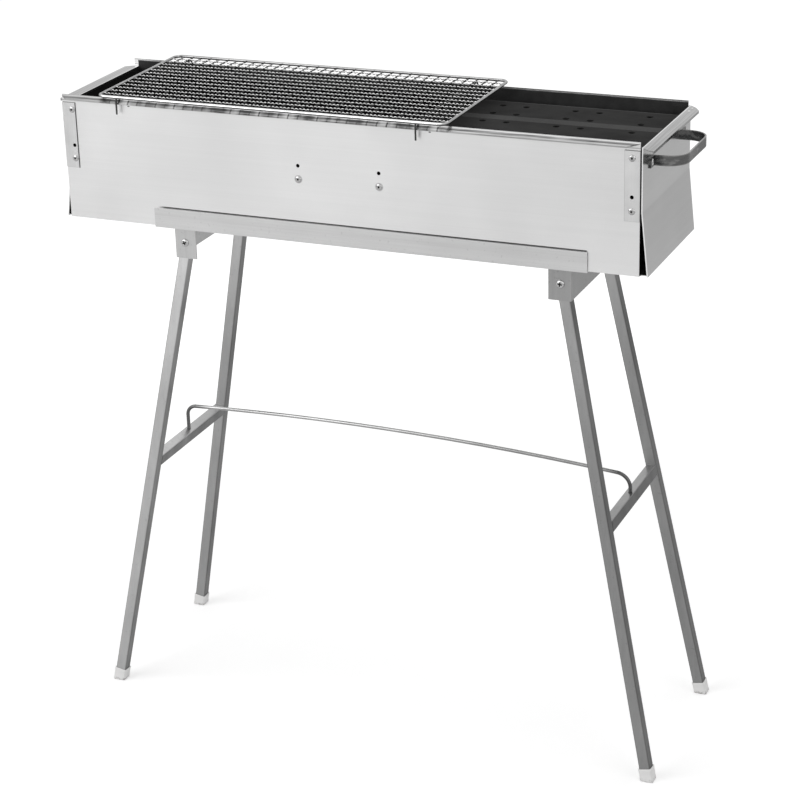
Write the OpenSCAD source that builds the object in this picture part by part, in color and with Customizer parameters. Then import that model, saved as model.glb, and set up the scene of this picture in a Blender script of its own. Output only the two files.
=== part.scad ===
// Folding camp grill: a riveted sheet-metal fire trough with a carry handle, a perforated coal tray
// and a hooked wire grate, standing loose in a cradle whose two leg frames fold in underneath.
// Lengths are millimetres, +Z is up, +X runs along the trough and the floor is Z = 0.

/* [Trough] */
// Length of the front and back panels
trough_length = 800; // [740:5:860]
// Width over the front and back panels
trough_width = 202; // [190:2:220]
// Height of the panels
trough_height = 170; // [150:2:190]
// Sheet thickness of the panels, the corner brackets and the ledges
panel_sheet = 1.2; // [1:0.1:1.6]
// Reach of the sloping hem along the front and back rims
hem_reach = 5; // [4:0.5:7]
// Fall of that hem
hem_fall = 5; // [4:0.5:6]
// Inward flange along the bottom of the front and back panels
bottom_flange = 14; // [10:1:20]
// Distance of the right end panel's face beyond the ends of the long panels
right_step = 3; // [2.4:0.2:4]
// Distance of the left end panel's face inside the ends of the long panels
left_step = 5; // [2:0.2:6]
// How far the lower half of the right end panel leans out at the floor of the trough
right_flare = 8; // [3:0.5:10]
// How far the lower half of the left end panel leans out there
left_flare = 11; // [6:0.5:12]
// Depth below the rim of the crease across an end panel
crease_drop = 88; // [80:1:92]
// Width of the right end flange
right_flange = 12; // [11:0.5:16]
// Width of the left end flange
left_flange = 15; // [13:0.5:18]
// Depth of the top of the right end panel below the rim
right_drop = 6; // [4:0.5:8]
// Depth of the top of the left end panel below the rim
left_drop = 10.5; // [8:0.5:12]
// Fall of the right end flange
right_fall = 5; // [2:0.5:6]
// Rise of the left end flange, which is not bent down as far
left_rise = 1; // [0:0.5:2]
// Cut across the outer corners of the right end flange
right_cut = 5; // [3:0.5:6]
// Cut across the outer corners of the left end flange
left_cut = 11; // [8:0.5:12]
// Down-turned hem of the end flanges
flange_hem = 3.5; // [3:0.5:6]
// Length of the returns that an end panel tucks behind the long panels
end_return = 22; // [20:1:26]
// Gap between the top of a return and the top of its end panel
return_gap = 2; // [1.6:0.2:3]
// Length of the mitre at the right ends of the hems
right_mitre = 16; // [12:1:20]
// Length of the mitre at their left ends
left_mitre = 8; // [6:1:16]
// Sideways shift of the trough on its stand, towards the left
trough_shift = 32; // [0:1:50]

/* [Corner brackets and rivets] */
// Width of a corner bracket
bracket_width = 19; // [16:1:21]
// Height of a corner bracket
bracket_height = 88.5; // [86:0.5:92]
// Depth of a bracket's top edge below the rim
bracket_drop = 11; // [10:0.5:13]
// Distance of the right corner rivets from the end of a long panel
right_inset = 10; // [8:0.5:11]
// Distance of the left corner rivets from the other end
left_inset = 14.5; // [12:0.5:14.5]
// Depth of the upper corner rivets below the rim
upper_rivet_drop = 20; // [18:0.5:22]
// Depth of the round air holes below the rim
air_hole_drop = 69; // [64:1:72]
// Depth of the lower rivet row below the rim
lower_rivet_drop = 87; // [83:1:88]
// Distance of the middle rivets from the middle of the trough
middle_rivet_x = 56.5; // [40:0.5:80]
// Diameter of the rivet shanks
rivet_shank = 4; // [3:0.2:4.8]
// Diameter of the rivet heads
rivet_head = 8.8; // [7:0.2:9.4]
// Height of the rivet heads
rivet_head_height = 1.8; // [1:0.1:2.2]
// Thickness of the flat set heads inside
set_head = 0.8; // [0.6:0.1:1.2]
// Diameter of the set heads
set_head_width = 6; // [5:0.5:7]
// Diameter of the air holes
air_hole = 5; // [3:0.5:6]
// Diameter of the two small rivets on the right end flange
flange_rivet = 4.4; // [3.6:0.2:5]
// Height of their heads
flange_rivet_height = 1.1; // [0.8:0.1:1.4]
// Distance of the first of them from the back of the trough
flange_rivet_inset = 8; // [6:1:14]
// Distance between the two
flange_rivet_step = 14; // [10:1:20]

/* [Coal tray] */
// Sheet thickness of the tray
tray_sheet = 1.5; // [1:0.1:2]
// Depth of the tray's flat top below the rim
tray_drop = 13; // [12:0.5:16]
// Height of the flat top over the lips that lie on the shelves
tray_rise = 10; // [8:0.5:12]
// Width of the flat top
tray_top = 151; // [146:1:156]
// Rise of the middle ridge
ridge_rise = 3; // [2:0.5:4]
// Width of the ridge
ridge_width = 18; // [14:1:24]
// Width of the shelf that carries the tray
ledge_shelf = 12; // [10:0.5:14]
// Play between the tray and the panels round it
tray_play = 0.8; // [0.6:0.1:0.9]
// Diameter of the air holes in the tray
tray_hole = 9; // [7:0.5:10]
// Distance between the two holes of a pair, along the tray
pair_pitch = 32; // [26:1:36]
// Distance between pairs, along the tray
pair_step = 98.5; // [90:0.5:100]
// Distance of the last hole column from the middle of the tray
last_column = 363; // [340:1:364]
// Distance between rows across the tray
row_step = 37.5; // [35:0.5:40]

/* [Grate] */
// Length of the grate
grate_length = 496; // [460:2:520]
// Width of the grate
grate_width = 228; // [224:2:232]
// Distance from the trough's middle to the grate's middle, towards the left
grate_shift = 93; // [60:1:110]
// Wire diameter of the grate's rim
rim_wire = 4; // [3:0.2:5]
// Corner radius of the grate's rim, to the middle of the wire
rim_corner = 11; // [9:1:16]
// Width of the mesh wires
mesh_wire = 1.8; // [1.6:0.1:2.2]
// Mesh openings along the grate
mesh_along = 36; // [30:1:38]
// Mesh openings across the grate
mesh_across = 14; // [10:1:16]
// Diameter of the two hook wires under the mesh
hook_wire = 2.4; // [2:0.2:3]
// Length of the hooks that drop over the rims
hook_drop = 21; // [16:1:26]
// Half the distance between the two hook wires
hook_x = 212.5; // [190:0.5:225]
// Distance of their middle from the grate's middle, towards the left
hook_shift = 8.5; // [0:0.5:9]

/* [Carry handle] */
// Height of the handle strap
strap_height = 13; // [10:1:16]
// Thickness of the strap
strap_sheet = 2; // [1.6:0.2:2.6]
// Distance between the two arms, to the middle of the strap
handle_span = 118; // [100:2:140]
// How far the grip stands out from the end panel
handle_reach = 38; // [32:1:44]
// Bend radius of the grip, to the middle of the strap
handle_bend = 25; // [12:1:26]
// Length of the riveted feet
handle_foot = 14; // [12:1:18]
// Depth of the strap's middle below the rim
handle_drop = 33; // [30:1:38]

/* [Cradle and leg carriers] */
// Height of the surface the trough stands on
seat_height = 690; // [676:1:708]
// Length of the cradle
cradle_length = 604; // [590:2:640]
// Height of the cradle's upturned lips
cradle_lip = 27; // [20:1:34]
// Sheet thickness of the cradle
cradle_sheet = 1.5; // [1.2:0.1:2]
// Play between the trough and each lip
cradle_play = 0.8; // [0.5:0.1:0.9]
// Sheet thickness of the leg carriers
carrier_sheet = 2; // [1.6:0.1:2.4]
// Depth of the carrier cheeks below the pivot
cheek_below = 22; // [18:1:24]
// Reach of the cheeks on the inner side of the pivot
cheek_inner = 16; // [15:0.5:18]
// Depth of the pivot below the seat
pivot_drop = 23; // [22:0.5:25]
// Distance of the pivots from the ends of the cradle
pivot_inset = 38; // [34:1:48]
// Distance of the leg centres from the middle plane, at the pivot
pivot_y = 82.5; // [78:0.5:86]

/* [Legs] */
// Width of the square leg tube
tube_width = 15; // [14:0.5:16]
// Wall of the tube
tube_wall = 1.2; // [1:0.1:1.6]
// Corner radius of the tube
tube_corner = 1.6; // [1.6:0.1:2.4]
// Length of the tube above the pivot
tube_above = 9; // [8:0.5:9]
// Distance of the feet from the middle of the stand, along it
foot_x = 397; // [380:1:410]
// Distance of the feet from the middle plane
foot_y = 126; // [122:1:134]
// Height of the crossbars
crossbar_height = 343.5; // [320:1:380]
// Width of the foot caps
cap_width = 18; // [17.6:0.2:19]
// Height of the foot caps
cap_height = 18; // [16:1:24]
// Distance of the tube's lower end from the end of the leg
cap_floor = 6; // [5:0.5:7]
// Folding angle of the left leg frame
left_fold = 92; // [90:1:93]
// Folding angle of the right leg frame
right_fold = 101; // [100:1:101]

/* [Brace rod] */
// Diameter of the brace rod
rod_wire = 5; // [4:0.5:6]
// Height of the rod's highest point above the crossbar centres
rod_rise = 50.4; // [46:0.2:54]
// Distance of that point from the middle of the stand, towards the left
rod_peak = 73; // [60:1:86]
// Bend radius of the long arch
rod_arch = 4480; // [4000:20:5200]
// Bend radius at the left end
rod_bend_left = 14; // [10:1:18]
// Bend radius at the right end
rod_bend_right = 20; // [14:1:22]
// Radial clearance of the rod in its holes
rod_clearance = 0.3; // [0.3:0.05:0.5]

/* [Pivot screws] */
// Diameter of the pivot screws
screw_shank = 6; // [5:0.5:6]
// Diameter of the screw heads
screw_head = 11; // [10:0.5:12]
// Height of the screw heads
screw_head_height = 2.8; // [2:0.2:3.4]
// Width across the flats of the nuts
nut_flats = 10; // [9:0.5:11]
// Thickness of the nuts
nut_height = 4; // [3:0.5:5]
// Thickness of the washers between cheek and leg
washer_thick = 1.2; // [1:0.1:1.3]
// Play between the legs and what stands beside them at the pivots
leg_play = 0.3; // [0.3:0.05:0.5]
// Radial clearance of the pins in their holes
pin_clearance = 0.06; // [0.05:0.01:0.1]

/* [Hidden] */

$fn = 48;

// Overshoot of a cutter
cut = 1;
// Gap left where a round piece rests on another
seat_gap = 0.2;
// Gap left between pieces that are welded or pressed together
weld_gap = 0.05;
// Swelling of the beads that join the lengths of a bent rod
rod_bead = 0.1;

// Middle of the trough and of the stand, so that the overall length is centred on X = 0
trough_x = (left_flange - left_step - right_step - handle_reach - strap_sheet / 2) / 2;
stand_x = trough_x + trough_shift;

// Faces of the trough
rim_z = seat_height + trough_height;
half_width = trough_width / 2;
half_inner = half_width - panel_sheet;
half_length = trough_length / 2;
right_face = half_length + right_step;
left_face = half_length - left_step;
right_top = rim_z - right_drop;
left_top = rim_z - left_drop;
crease_z = rim_z - crease_drop;
hem_slope = hem_fall / (hem_reach + panel_sheet);
hem_thick = panel_sheet * sqrt(1 + hem_slope * hem_slope);
lower_rivet_z = rim_z - lower_rivet_drop;
upper_rivet_z = rim_z - upper_rivet_drop;
air_hole_z = rim_z - air_hole_drop;
return_bottom = rim_z - bracket_drop - bracket_height;
base_bottom = seat_height + panel_sheet;
base_top = base_bottom + panel_sheet;
base_share = (crease_z - base_top) / (crease_z - seat_height);
base_right = right_face + right_flare * base_share - panel_sheet - seat_gap;
base_left = left_face + left_flare * base_share - panel_sheet - seat_gap;

// Ledges and tray
shelf_z = rim_z - tray_drop - tray_rise - tray_sheet;
tray_end = panel_sheet + tray_play;
tray_half_width = half_inner - panel_sheet - tray_play;
tray_lip = half_inner - panel_sheet - ledge_shelf;
tray_half_top = tray_top / 2;
pair_count = floor((last_column * 2 - pair_pitch) / pair_step) + 1;

// Wires of the grate
hook_z = rim_z + seat_gap + hook_wire / 2;
wire_z = hook_z + hook_wire / 2 + weld_gap + rim_wire / 2;
mesh_z = hook_z + hook_wire / 2 + weld_gap;
rim_half_x = grate_length / 2 - rim_wire / 2;
rim_half_y = grate_width / 2 - rim_wire / 2;
mesh_half_x = rim_half_x - rim_wire / 2 - weld_gap;
mesh_half_y = rim_half_y - rim_wire / 2 - weld_gap;
mesh_pitch_x = 2 * rim_half_x / mesh_along;
mesh_pitch_y = 2 * rim_half_y / mesh_across;
hook_bend = hook_wire * 4 / 3;
hook_y = half_width + hem_reach + hook_wire / 2 + 2 * seat_gap;

// Cradle and carriers
cradle_half = half_width + cradle_play + cradle_sheet;
cradle_bottom = seat_height - cradle_sheet;
carrier_top = cradle_bottom - carrier_sheet;
pivot_x = cradle_length / 2 - pivot_inset;
pivot_z = seat_height - pivot_drop;
cheek_bottom = pivot_z - cheek_below;

// Slant of the legs
leg_run = foot_x - pivot_x;
leg_out = foot_y - pivot_y;
splay = atan(leg_run / pivot_z);
leg_flat = sqrt(leg_run * leg_run + pivot_z * pivot_z);
tilt = atan(leg_out / leg_flat);
leg_length = sqrt(leg_flat * leg_flat + leg_out * leg_out);
tube_half = tube_width / 2;
tube_flat_half = tube_half / cos(splay);

// The outer web is the stop for the splayed leg, the inner web the stop for the folded one
stop_gap = 0.2;
web_outer_face = leg_run * cheek_below / pivot_z + tube_flat_half + stop_gap;
cheek_outer = web_outer_face + carrier_sheet;
left_droop = 90 + splay - left_fold;
right_droop = 90 + splay - right_fold;
left_web_z = pivot_z + tube_half / cos(left_droop)
             - (cheek_inner - carrier_sheet) * tan(left_droop) + stop_gap;
right_web_z = pivot_z + tube_half / cos(right_droop)
              - (cheek_inner - carrier_sheet) * tan(right_droop) + stop_gap;

// Faces across the pivot
leg_side = tube_half / cos(tilt);
leg_side_low = pivot_y + leg_out * cheek_below / pivot_z + leg_side;
washer_tilt = screw_shank * tan(tilt);
cheek_inside = max(leg_side_low + leg_play,
                   pivot_y + leg_side + washer_thick + washer_tilt + leg_play / 2);
cheek_outside = cheek_inside + carrier_sheet;
nut_face = pivot_y - leg_side - nut_flats / 2 / cos(30) * tan(tilt) - leg_play;
screw_end = nut_face - nut_height - screw_shank / 12;

// Crossbars and brace rod
crossbar_run = leg_run * (pivot_z - crossbar_height) / pivot_z;
crossbar_x = pivot_x + crossbar_run;
crossbar_y = pivot_y + leg_out * (pivot_z - crossbar_height) / pivot_z;
arch_z = crossbar_height + rod_rise - rod_arch;
rod_tip = crossbar_height - (tube_half - tube_wall) / cos(splay)
          + rod_wire / 2 * tan(splay) + rod_clearance;

// Handle
handle_z = rim_z - handle_drop;
handle_arm = handle_reach - handle_bend;

sheet_grey = [0.80, 0.80, 0.79];
frame_grey = [0.56, 0.56, 0.57];
zinc = [0.86, 0.86, 0.86];
dark_steel = [0.16, 0.16, 0.18];
coal_grey = [0.19, 0.19, 0.19];
cap_white = [0.93, 0.93, 0.92];
wire_grey = [0.74, 0.74, 0.74];

// Extrudes a (Y, Z) profile along X between two stations
module along_x(from, to) {
    translate([from, 0, 0])
        rotate([90, 0, 90])
            linear_extrude(height = to - from)
                children();
}

// Extrudes an (X, Z) profile along Y, the same distance each way
module across_y(half) {
    translate([0, half, 0])
        rotate([90, 0, 0])
            linear_extrude(height = 2 * half)
                children();
}

// A pin along Y between two stations
module pin_y(radius, from, to) {
    translate([0, from, 0])
        rotate([-90, 0, 0])
            cylinder(r = radius, h = to - from);
}

// A low domed head, drawn upwards from Z = 0
module dome(radius, height) {
    ball = (radius * radius + height * height) / (2 * height);
    intersection() {
        translate([0, 0, height - ball])
            sphere(r = ball);
        cylinder(r = radius + cut, h = height + cut);
    }
}

// The section of a long panel on the -Y side
module panel_profile() {
    polygon([
        [-half_width, seat_height],
        [-half_width + bottom_flange, seat_height],
        [-half_width + bottom_flange, seat_height + panel_sheet],
        [-half_inner, seat_height + panel_sheet],
        [-half_inner, rim_z],
        [-half_width - hem_reach, rim_z - hem_fall],
        [-half_width - hem_reach, rim_z - hem_fall - hem_thick],
        [-half_width, rim_z - hem_slope * panel_sheet - hem_thick]
    ]);
}

// Stations of the four rivets of a long panel's lower row, from the middle of the trough
function row_stations() = [-half_length + left_inset, -middle_rivet_x,
                           middle_rivet_x, half_length - right_inset];

// Holes through a long panel and what lies behind it, on the -Y side
module panel_holes() {
    hole_from = -half_width - panel_sheet - cut;
    hole_to = -half_inner + panel_sheet + cut;
    for (x = row_stations()) {
        translate([x, 0, lower_rivet_z])
            pin_y(rivet_shank / 2 + pin_clearance, hole_from, hole_to);
        translate([x, 0, air_hole_z])
            pin_y(air_hole / 2, hole_from, hole_to);
    }
    for (x = [row_stations()[0], row_stations()[3]]) {
        translate([x, 0, upper_rivet_z])
            pin_y(rivet_shank / 2 + pin_clearance, hole_from, hole_to);
    }
}

// The same holes on both sides
module side_holes() {
    panel_holes();
    mirror([0, 1, 0])
        panel_holes();
}

// A long panel on the -Y side, about the middle of the trough
module long_panel() {
    difference() {
        along_x(-half_length, half_length)
            panel_profile();
        panel_holes();
        for (side = [0, 1]) {
            mitre = side == 0 ? right_mitre : left_mitre;
            mirror([side, 0, 0])
                translate([half_length, -half_width, rim_z - 2 * hem_fall])
                    linear_extrude(height = 2 * hem_fall + cut)
                        polygon([[0, 0], [-1.5 * mitre, -1.5 * hem_reach], [cut, -1.5 * hem_reach],
                                 [cut, 0]]);
        }
    }
}

module front_panel() {
    color(sheet_grey)
        translate([trough_x, 0, 0])
            long_panel();
}

module back_panel() {
    color(sheet_grey)
        translate([trough_x, 0, 0])
            mirror([0, 1, 0])
                long_panel();
}

// An end panel on the +X side with its top flange and its two returns
module end_panel(face, flange, half, flare, end_top, fall, corner) {
    slope = fall / (flange + panel_sheet);
    thick = panel_sheet * sqrt(1 + slope * slope);
    edge = face + flange;
    low = end_top - fall;
    difference() {
        union() {
            across_y(half)
                polygon([
                    [face + flare, seat_height],
                    [face, crease_z],
                    [face, end_top - slope * panel_sheet - thick],
                    [edge - panel_sheet, low + slope * panel_sheet - thick],
                    [edge - panel_sheet, low - flange_hem],
                    [edge, low - flange_hem],
                    [edge, low],
                    [face - panel_sheet, end_top],
                    [face - panel_sheet, crease_z],
                    [face + flare - panel_sheet, seat_height]
                ]);
            for (side = [-1, 1]) {
                translate([face - end_return, side * (half_inner - panel_sheet / 2) - panel_sheet / 2,
                           return_bottom])
                    cube([end_return - panel_sheet, panel_sheet, end_top - return_gap - return_bottom]);
            }
        }
        for (side = [-1, 1]) {
            translate([edge, side * half, low])
                rotate([0, 0, 45])
                    cube([corner * sqrt(2), corner * sqrt(2), 4 * flange_hem], center = true);
        }
    }
}

module right_end_panel() {
    color(sheet_grey)
        translate([trough_x, 0, 0])
            difference() {
                end_panel(right_face, right_flange, half_width, right_flare, right_top, right_fall,
                          right_cut);
                side_holes();
                for (side = [-1, 1]) {
                    translate([right_face - cut - panel_sheet, side * handle_foot_y(), handle_z])
                        rotate([0, 90, 0])
                            cylinder(r = rivet_shank / 2 + pin_clearance, h = panel_sheet + 2 * cut);
                }
            }
}

module left_end_panel() {
    color(sheet_grey)
        translate([trough_x, 0, 0])
            difference() {
                mirror([1, 0, 0])
                    end_panel(left_face, left_flange, half_inner, left_flare, left_top, -left_rise,
                              left_cut);
                side_holes();
            }
}

module base_plate() {
    color(sheet_grey)
        translate([trough_x - base_left, -half_inner, base_bottom])
            cube([base_left + base_right, 2 * half_inner, panel_sheet]);
}

// The two corner brackets of a long panel on the -Y side
module bracket_pair() {
    difference() {
        for (side = [0, 1]) {
            mirror([side, 0, 0])
                translate([half_length - bracket_width, -half_width - panel_sheet, return_bottom])
                    cube([bracket_width, panel_sheet, bracket_height]);
        }
        panel_holes();
    }
}

module front_brackets() {
    color(frame_grey)
        translate([trough_x, 0, 0])
            bracket_pair();
}

module back_brackets() {
    color(frame_grey)
        translate([trough_x, 0, 0])
            mirror([0, 1, 0])
                bracket_pair();
}

// A rivet along Y on the -Y side: domed head outside, flat set head inside
module side_rivet(outside, inside) {
    translate([0, outside, 0])
        rotate([90, 0, 0])
            dome(rivet_head / 2, rivet_head_height);
    pin_y(rivet_shank / 2, outside, inside + set_head);
    pin_y(set_head_width / 2, inside, inside + set_head);
}

// Both sides of the trough
module both_sides() {
    translate([trough_x, 0, 0]) {
        children();
        mirror([0, 1, 0])
            children();
    }
}

module bracket_rivets() {
    color(zinc)
        both_sides()
            for (x = [row_stations()[0], row_stations()[3]], z = [upper_rivet_z, lower_rivet_z]) {
                translate([x, 0, z])
                    side_rivet(-half_width - panel_sheet, -half_inner + panel_sheet);
            }
}

module ledge_rivets() {
    color(zinc)
        both_sides()
            for (x = [row_stations()[1], row_stations()[2]]) {
                translate([x, 0, lower_rivet_z])
                    side_rivet(-half_width, -half_inner + panel_sheet);
            }
}

// The strip behind a long panel on the -Y side that carries the tray
module ledge() {
    difference() {
        along_x(-left_face + end_return + tray_play, right_face - end_return - tray_play)
            polygon([
                [-half_inner, return_bottom],
                [-half_inner + panel_sheet, return_bottom],
                [-half_inner + panel_sheet, shelf_z - panel_sheet],
                [-half_inner + panel_sheet + ledge_shelf, shelf_z - panel_sheet],
                [-half_inner + panel_sheet + ledge_shelf, shelf_z],
                [-half_inner, shelf_z]
            ]);
        panel_holes();
    }
}

module front_ledge() {
    color(sheet_grey)
        translate([trough_x, 0, 0])
            ledge();
}

module back_ledge() {
    color(sheet_grey)
        translate([trough_x, 0, 0])
            mirror([0, 1, 0])
                ledge();
}

// Distance of a handle rivet from the middle plane
function handle_foot_y() = handle_span / 2 + strap_sheet / 2 + handle_foot / 2;

// The strap seen from above, on the +X end
module handle_path() {
    outer = handle_bend + strap_sheet / 2;
    inner = handle_bend - strap_sheet / 2;
    for (side = [-1, 1]) {
        translate([0, side * handle_foot_y() - handle_foot / 2])
            square([strap_sheet, handle_foot]);
        translate([0, side * handle_span / 2 - strap_sheet / 2])
            square([handle_arm, strap_sheet]);
        intersection() {
            translate([handle_arm, side * (handle_span / 2 - handle_bend)])
                difference() {
                    circle(r = outer);
                    circle(r = inner);
                }
            translate([handle_arm, side > 0 ? handle_span / 2 - handle_bend
                                            : -handle_span / 2 + handle_bend - outer])
                square([outer, outer]);
        }
    }
    translate([handle_arm + inner, -handle_span / 2 + handle_bend])
        square([strap_sheet, handle_span - 2 * handle_bend]);
}

module carry_handle() {
    color(dark_steel)
        translate([trough_x + right_face, 0, handle_z])
            difference() {
                translate([0, 0, -strap_height / 2])
                    linear_extrude(height = strap_height)
                        handle_path();
                for (side = [-1, 1]) {
                    translate([-cut, side * handle_foot_y(), 0])
                        rotate([0, 90, 0])
                            cylinder(r = rivet_shank / 2 + pin_clearance, h = strap_sheet + 2 * cut);
                }
            }
}

module handle_rivets() {
    color(zinc)
        for (side = [-1, 1]) {
            translate([trough_x + right_face, side * handle_foot_y(), handle_z])
                rotate([0, 90, 0]) {
                    translate([0, 0, strap_sheet])
                        dome(rivet_head / 2, rivet_head_height);
                    translate([0, 0, -panel_sheet - set_head])
                        cylinder(r = rivet_shank / 2, h = panel_sheet + set_head + strap_sheet);
                    translate([0, 0, -panel_sheet - set_head])
                        cylinder(r = set_head_width / 2, h = set_head);
                }
        }
}

module rim_rivets() {
    fall = right_fall / (right_flange + panel_sheet);
    color(zinc)
        for (y = [half_width - flange_rivet_inset - flange_rivet_step,
                  half_width - flange_rivet_inset]) {
            translate([trough_x + right_face + flange_rivet, y,
                       right_top - fall * (flange_rivet + panel_sheet)])
                rotate([0, atan(fall), 0])
                    dome(flange_rivet / 2, flange_rivet_height);
        }
}

// The tray's section from its -Y lip over the flat top and the ridge to its +Y lip, one face of it
function tray_line(z) = [
    [-tray_half_width, z], [-tray_lip, z], [-tray_half_top, z + tray_rise],
    [-ridge_width / 2, z + tray_rise], [0, z + tray_rise + ridge_rise],
    [ridge_width / 2, z + tray_rise], [tray_half_top, z + tray_rise], [tray_lip, z],
    [tray_half_width, z]
];

module coal_tray() {
    lower = tray_line(shelf_z);
    upper = tray_line(shelf_z + tray_sheet);
    color(coal_grey)
        translate([trough_x, 0, 0])
            difference() {
                along_x(-left_face + tray_end, right_face - tray_end)
                    polygon(concat(lower, [for (i = [len(upper) - 1 : -1 : 0]) upper[i]]));
                for (pair = [0 : pair_count - 1], row = [-1.5, -0.5, 0.5, 1.5]) {
                    translate([last_column - pair * pair_step, row * row_step, shelf_z - cut])
                        cylinder(r = tray_hole / 2, h = tray_rise + tray_sheet + 2 * cut);
                    if (pair > 0)
                        translate([last_column - pair * pair_step + pair_pitch, row * row_step,
                                   shelf_z - cut])
                            cylinder(r = tray_hole / 2, h = tray_rise + tray_sheet + 2 * cut);
                }
            }
}

// Carries what it holds to the middle of the grate
module at_grate() {
    translate([trough_x - grate_shift, 0, 0])
        children();
}

module grate_rim() {
    color(wire_grey)
        at_grate()
            translate([0, 0, wire_z]) {
                for (side = [-1, 1]) {
                    translate([-rim_half_x + rim_corner, side * rim_half_y, 0])
                        rotate([0, 90, 0])
                            cylinder(r = rim_wire / 2, h = 2 * (rim_half_x - rim_corner));
                    translate([side * rim_half_x, -rim_half_y + rim_corner, 0])
                        rotate([-90, 0, 0])
                            cylinder(r = rim_wire / 2, h = 2 * (rim_half_y - rim_corner));
                }
                for (quarter = [0 : 3]) {
                    sx = quarter == 0 || quarter == 3 ? 1 : -1;
                    sy = quarter < 2 ? 1 : -1;
                    translate([sx * (rim_half_x - rim_corner), sy * (rim_half_y - rim_corner), 0])
                        rotate([0, 0, quarter * 90])
                            rotate_extrude(angle = 90)
                                translate([rim_corner, 0])
                                    circle(r = rim_wire / 2);
                }
            }
}

module grate_mesh() {
    color(wire_grey)
        at_grate() {
            for (i = [1 : mesh_along - 1]) {
                translate([-rim_half_x + i * mesh_pitch_x - mesh_wire / 2, -mesh_half_y, mesh_z])
                    cube([mesh_wire, 2 * mesh_half_y, mesh_wire]);
            }
            for (j = [1 : mesh_across - 1]) {
                translate([-mesh_half_x, -rim_half_y + j * mesh_pitch_y - mesh_wire / 2,
                           mesh_z + mesh_wire])
                    cube([2 * mesh_half_x, mesh_wire, mesh_wire]);
            }
        }
}

module grate_hooks() {
    color(wire_grey)
        at_grate()
            for (x = [-hook_x - hook_shift, hook_x - hook_shift]) {
                translate([x, 0, hook_z]) {
                    pin_y(hook_wire / 2, -hook_y + hook_bend, hook_y - hook_bend);
                    for (side = [0, 1]) {
                        mirror([0, side, 0])
                            translate([0, -hook_y + hook_bend, -hook_bend])
                                rotate([0, -90, 0])
                                    rotate([0, 0, -90])
                                        rotate_extrude(angle = 90)
                                            translate([hook_bend, 0])
                                                circle(r = hook_wire / 2);
                        mirror([0, side, 0])
                            translate([0, -hook_y, -hook_drop])
                                cylinder(r = hook_wire / 2, h = hook_drop - hook_bend);
                    }
                }
            }
}

// The two rivets that hold a carrier, from the middle of the stand
module at_carrier_rivets() {
    for (y = [-pivot_y / 2, pivot_y / 2]) {
        translate([pivot_x - 1, y, 0])
            children();
    }
}

module cradle() {
    color(frame_grey)
        translate([stand_x, 0, 0])
            difference() {
                along_x(-cradle_length / 2, cradle_length / 2)
                    polygon([
                        [-cradle_half, cradle_bottom],
                        [cradle_half, cradle_bottom],
                        [cradle_half, cradle_bottom + cradle_lip],
                        [cradle_half - cradle_sheet, cradle_bottom + cradle_lip],
                        [cradle_half - cradle_sheet, seat_height],
                        [-cradle_half + cradle_sheet, seat_height],
                        [-cradle_half + cradle_sheet, cradle_bottom + cradle_lip],
                        [-cradle_half, cradle_bottom + cradle_lip]
                    ]);
                for (side = [0, 1]) {
                    mirror([side, 0, 0])
                        at_carrier_rivets()
                            translate([0, 0, cradle_bottom - cut])
                                cylinder(r = rivet_shank / 2 + pin_clearance, h = cradle_sheet + 2 * cut);
                }
            }
}

// A leg carrier on the +X side: top, two cheeks, a deep outer web and a shallow inner web
module carrier(web_z) {
    inner = pivot_x - cheek_inner;
    outer = pivot_x + cheek_outer;
    difference() {
        union() {
            translate([inner, -cheek_outside, carrier_top])
                cube([outer - inner, 2 * cheek_outside, carrier_sheet]);
            for (side = [-1, 1]) {
                translate([inner, side * (cheek_inside + carrier_sheet / 2) - carrier_sheet / 2,
                           cheek_bottom])
                    cube([outer - inner, carrier_sheet, carrier_top - cheek_bottom]);
            }
            translate([outer - carrier_sheet, -cheek_inside, cheek_bottom])
                cube([carrier_sheet, 2 * cheek_inside, carrier_top - cheek_bottom]);
            translate([inner, -cheek_inside, web_z])
                cube([carrier_sheet, 2 * cheek_inside, carrier_top - web_z]);
        }
        translate([pivot_x, 0, pivot_z])
            pin_y(screw_shank / 2 + pin_clearance, -cheek_outside - cut, cheek_outside + cut);
        at_carrier_rivets()
            translate([0, 0, carrier_top - cut])
                cylinder(r = rivet_shank / 2 + pin_clearance, h = carrier_sheet + 2 * cut);
    }
}

module left_carrier() {
    color(frame_grey)
        translate([stand_x, 0, 0])
            mirror([1, 0, 0])
                carrier(left_web_z);
}

module right_carrier() {
    color(frame_grey)
        translate([stand_x, 0, 0])
            carrier(right_web_z);
}

module carrier_rivets() {
    color(zinc)
        translate([stand_x, 0, 0])
            for (side = [0, 1]) {
                mirror([side, 0, 0])
                    at_carrier_rivets() {
                        translate([0, 0, carrier_top])
                            cylinder(r = rivet_shank / 2, h = carrier_sheet + cradle_sheet);
                        translate([0, 0, carrier_top])
                            mirror([0, 0, 1])
                                dome(rivet_head / 2, rivet_head_height);
                    }
            }
}

// The four pivots, each with +Y pointing out of the stand
module at_pivots() {
    for (sx = [-1, 1], side = [0, 1]) {
        translate([stand_x + sx * pivot_x, 0, pivot_z])
            mirror([0, side, 0])
                children();
    }
}

module pivot_screws() {
    color(zinc)
        at_pivots() {
            pin_y(screw_shank / 2, screw_end, cheek_outside);
            translate([0, cheek_outside, 0])
                rotate([-90, 0, 0])
                    dome(screw_head / 2, screw_head_height);
        }
}

module pivot_nuts() {
    corner = nut_flats / 2 / cos(30);
    color(zinc)
        at_pivots()
            difference() {
                translate([0, nut_face, 0])
                    rotate([90, 0, 0])
                        linear_extrude(height = nut_height)
                            polygon([for (i = [0 : 5]) [corner * cos(i * 60), corner * sin(i * 60)]]);
                pin_y(screw_shank / 2 + pin_clearance, nut_face - nut_height - cut, nut_face + cut);
            }
}

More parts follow.
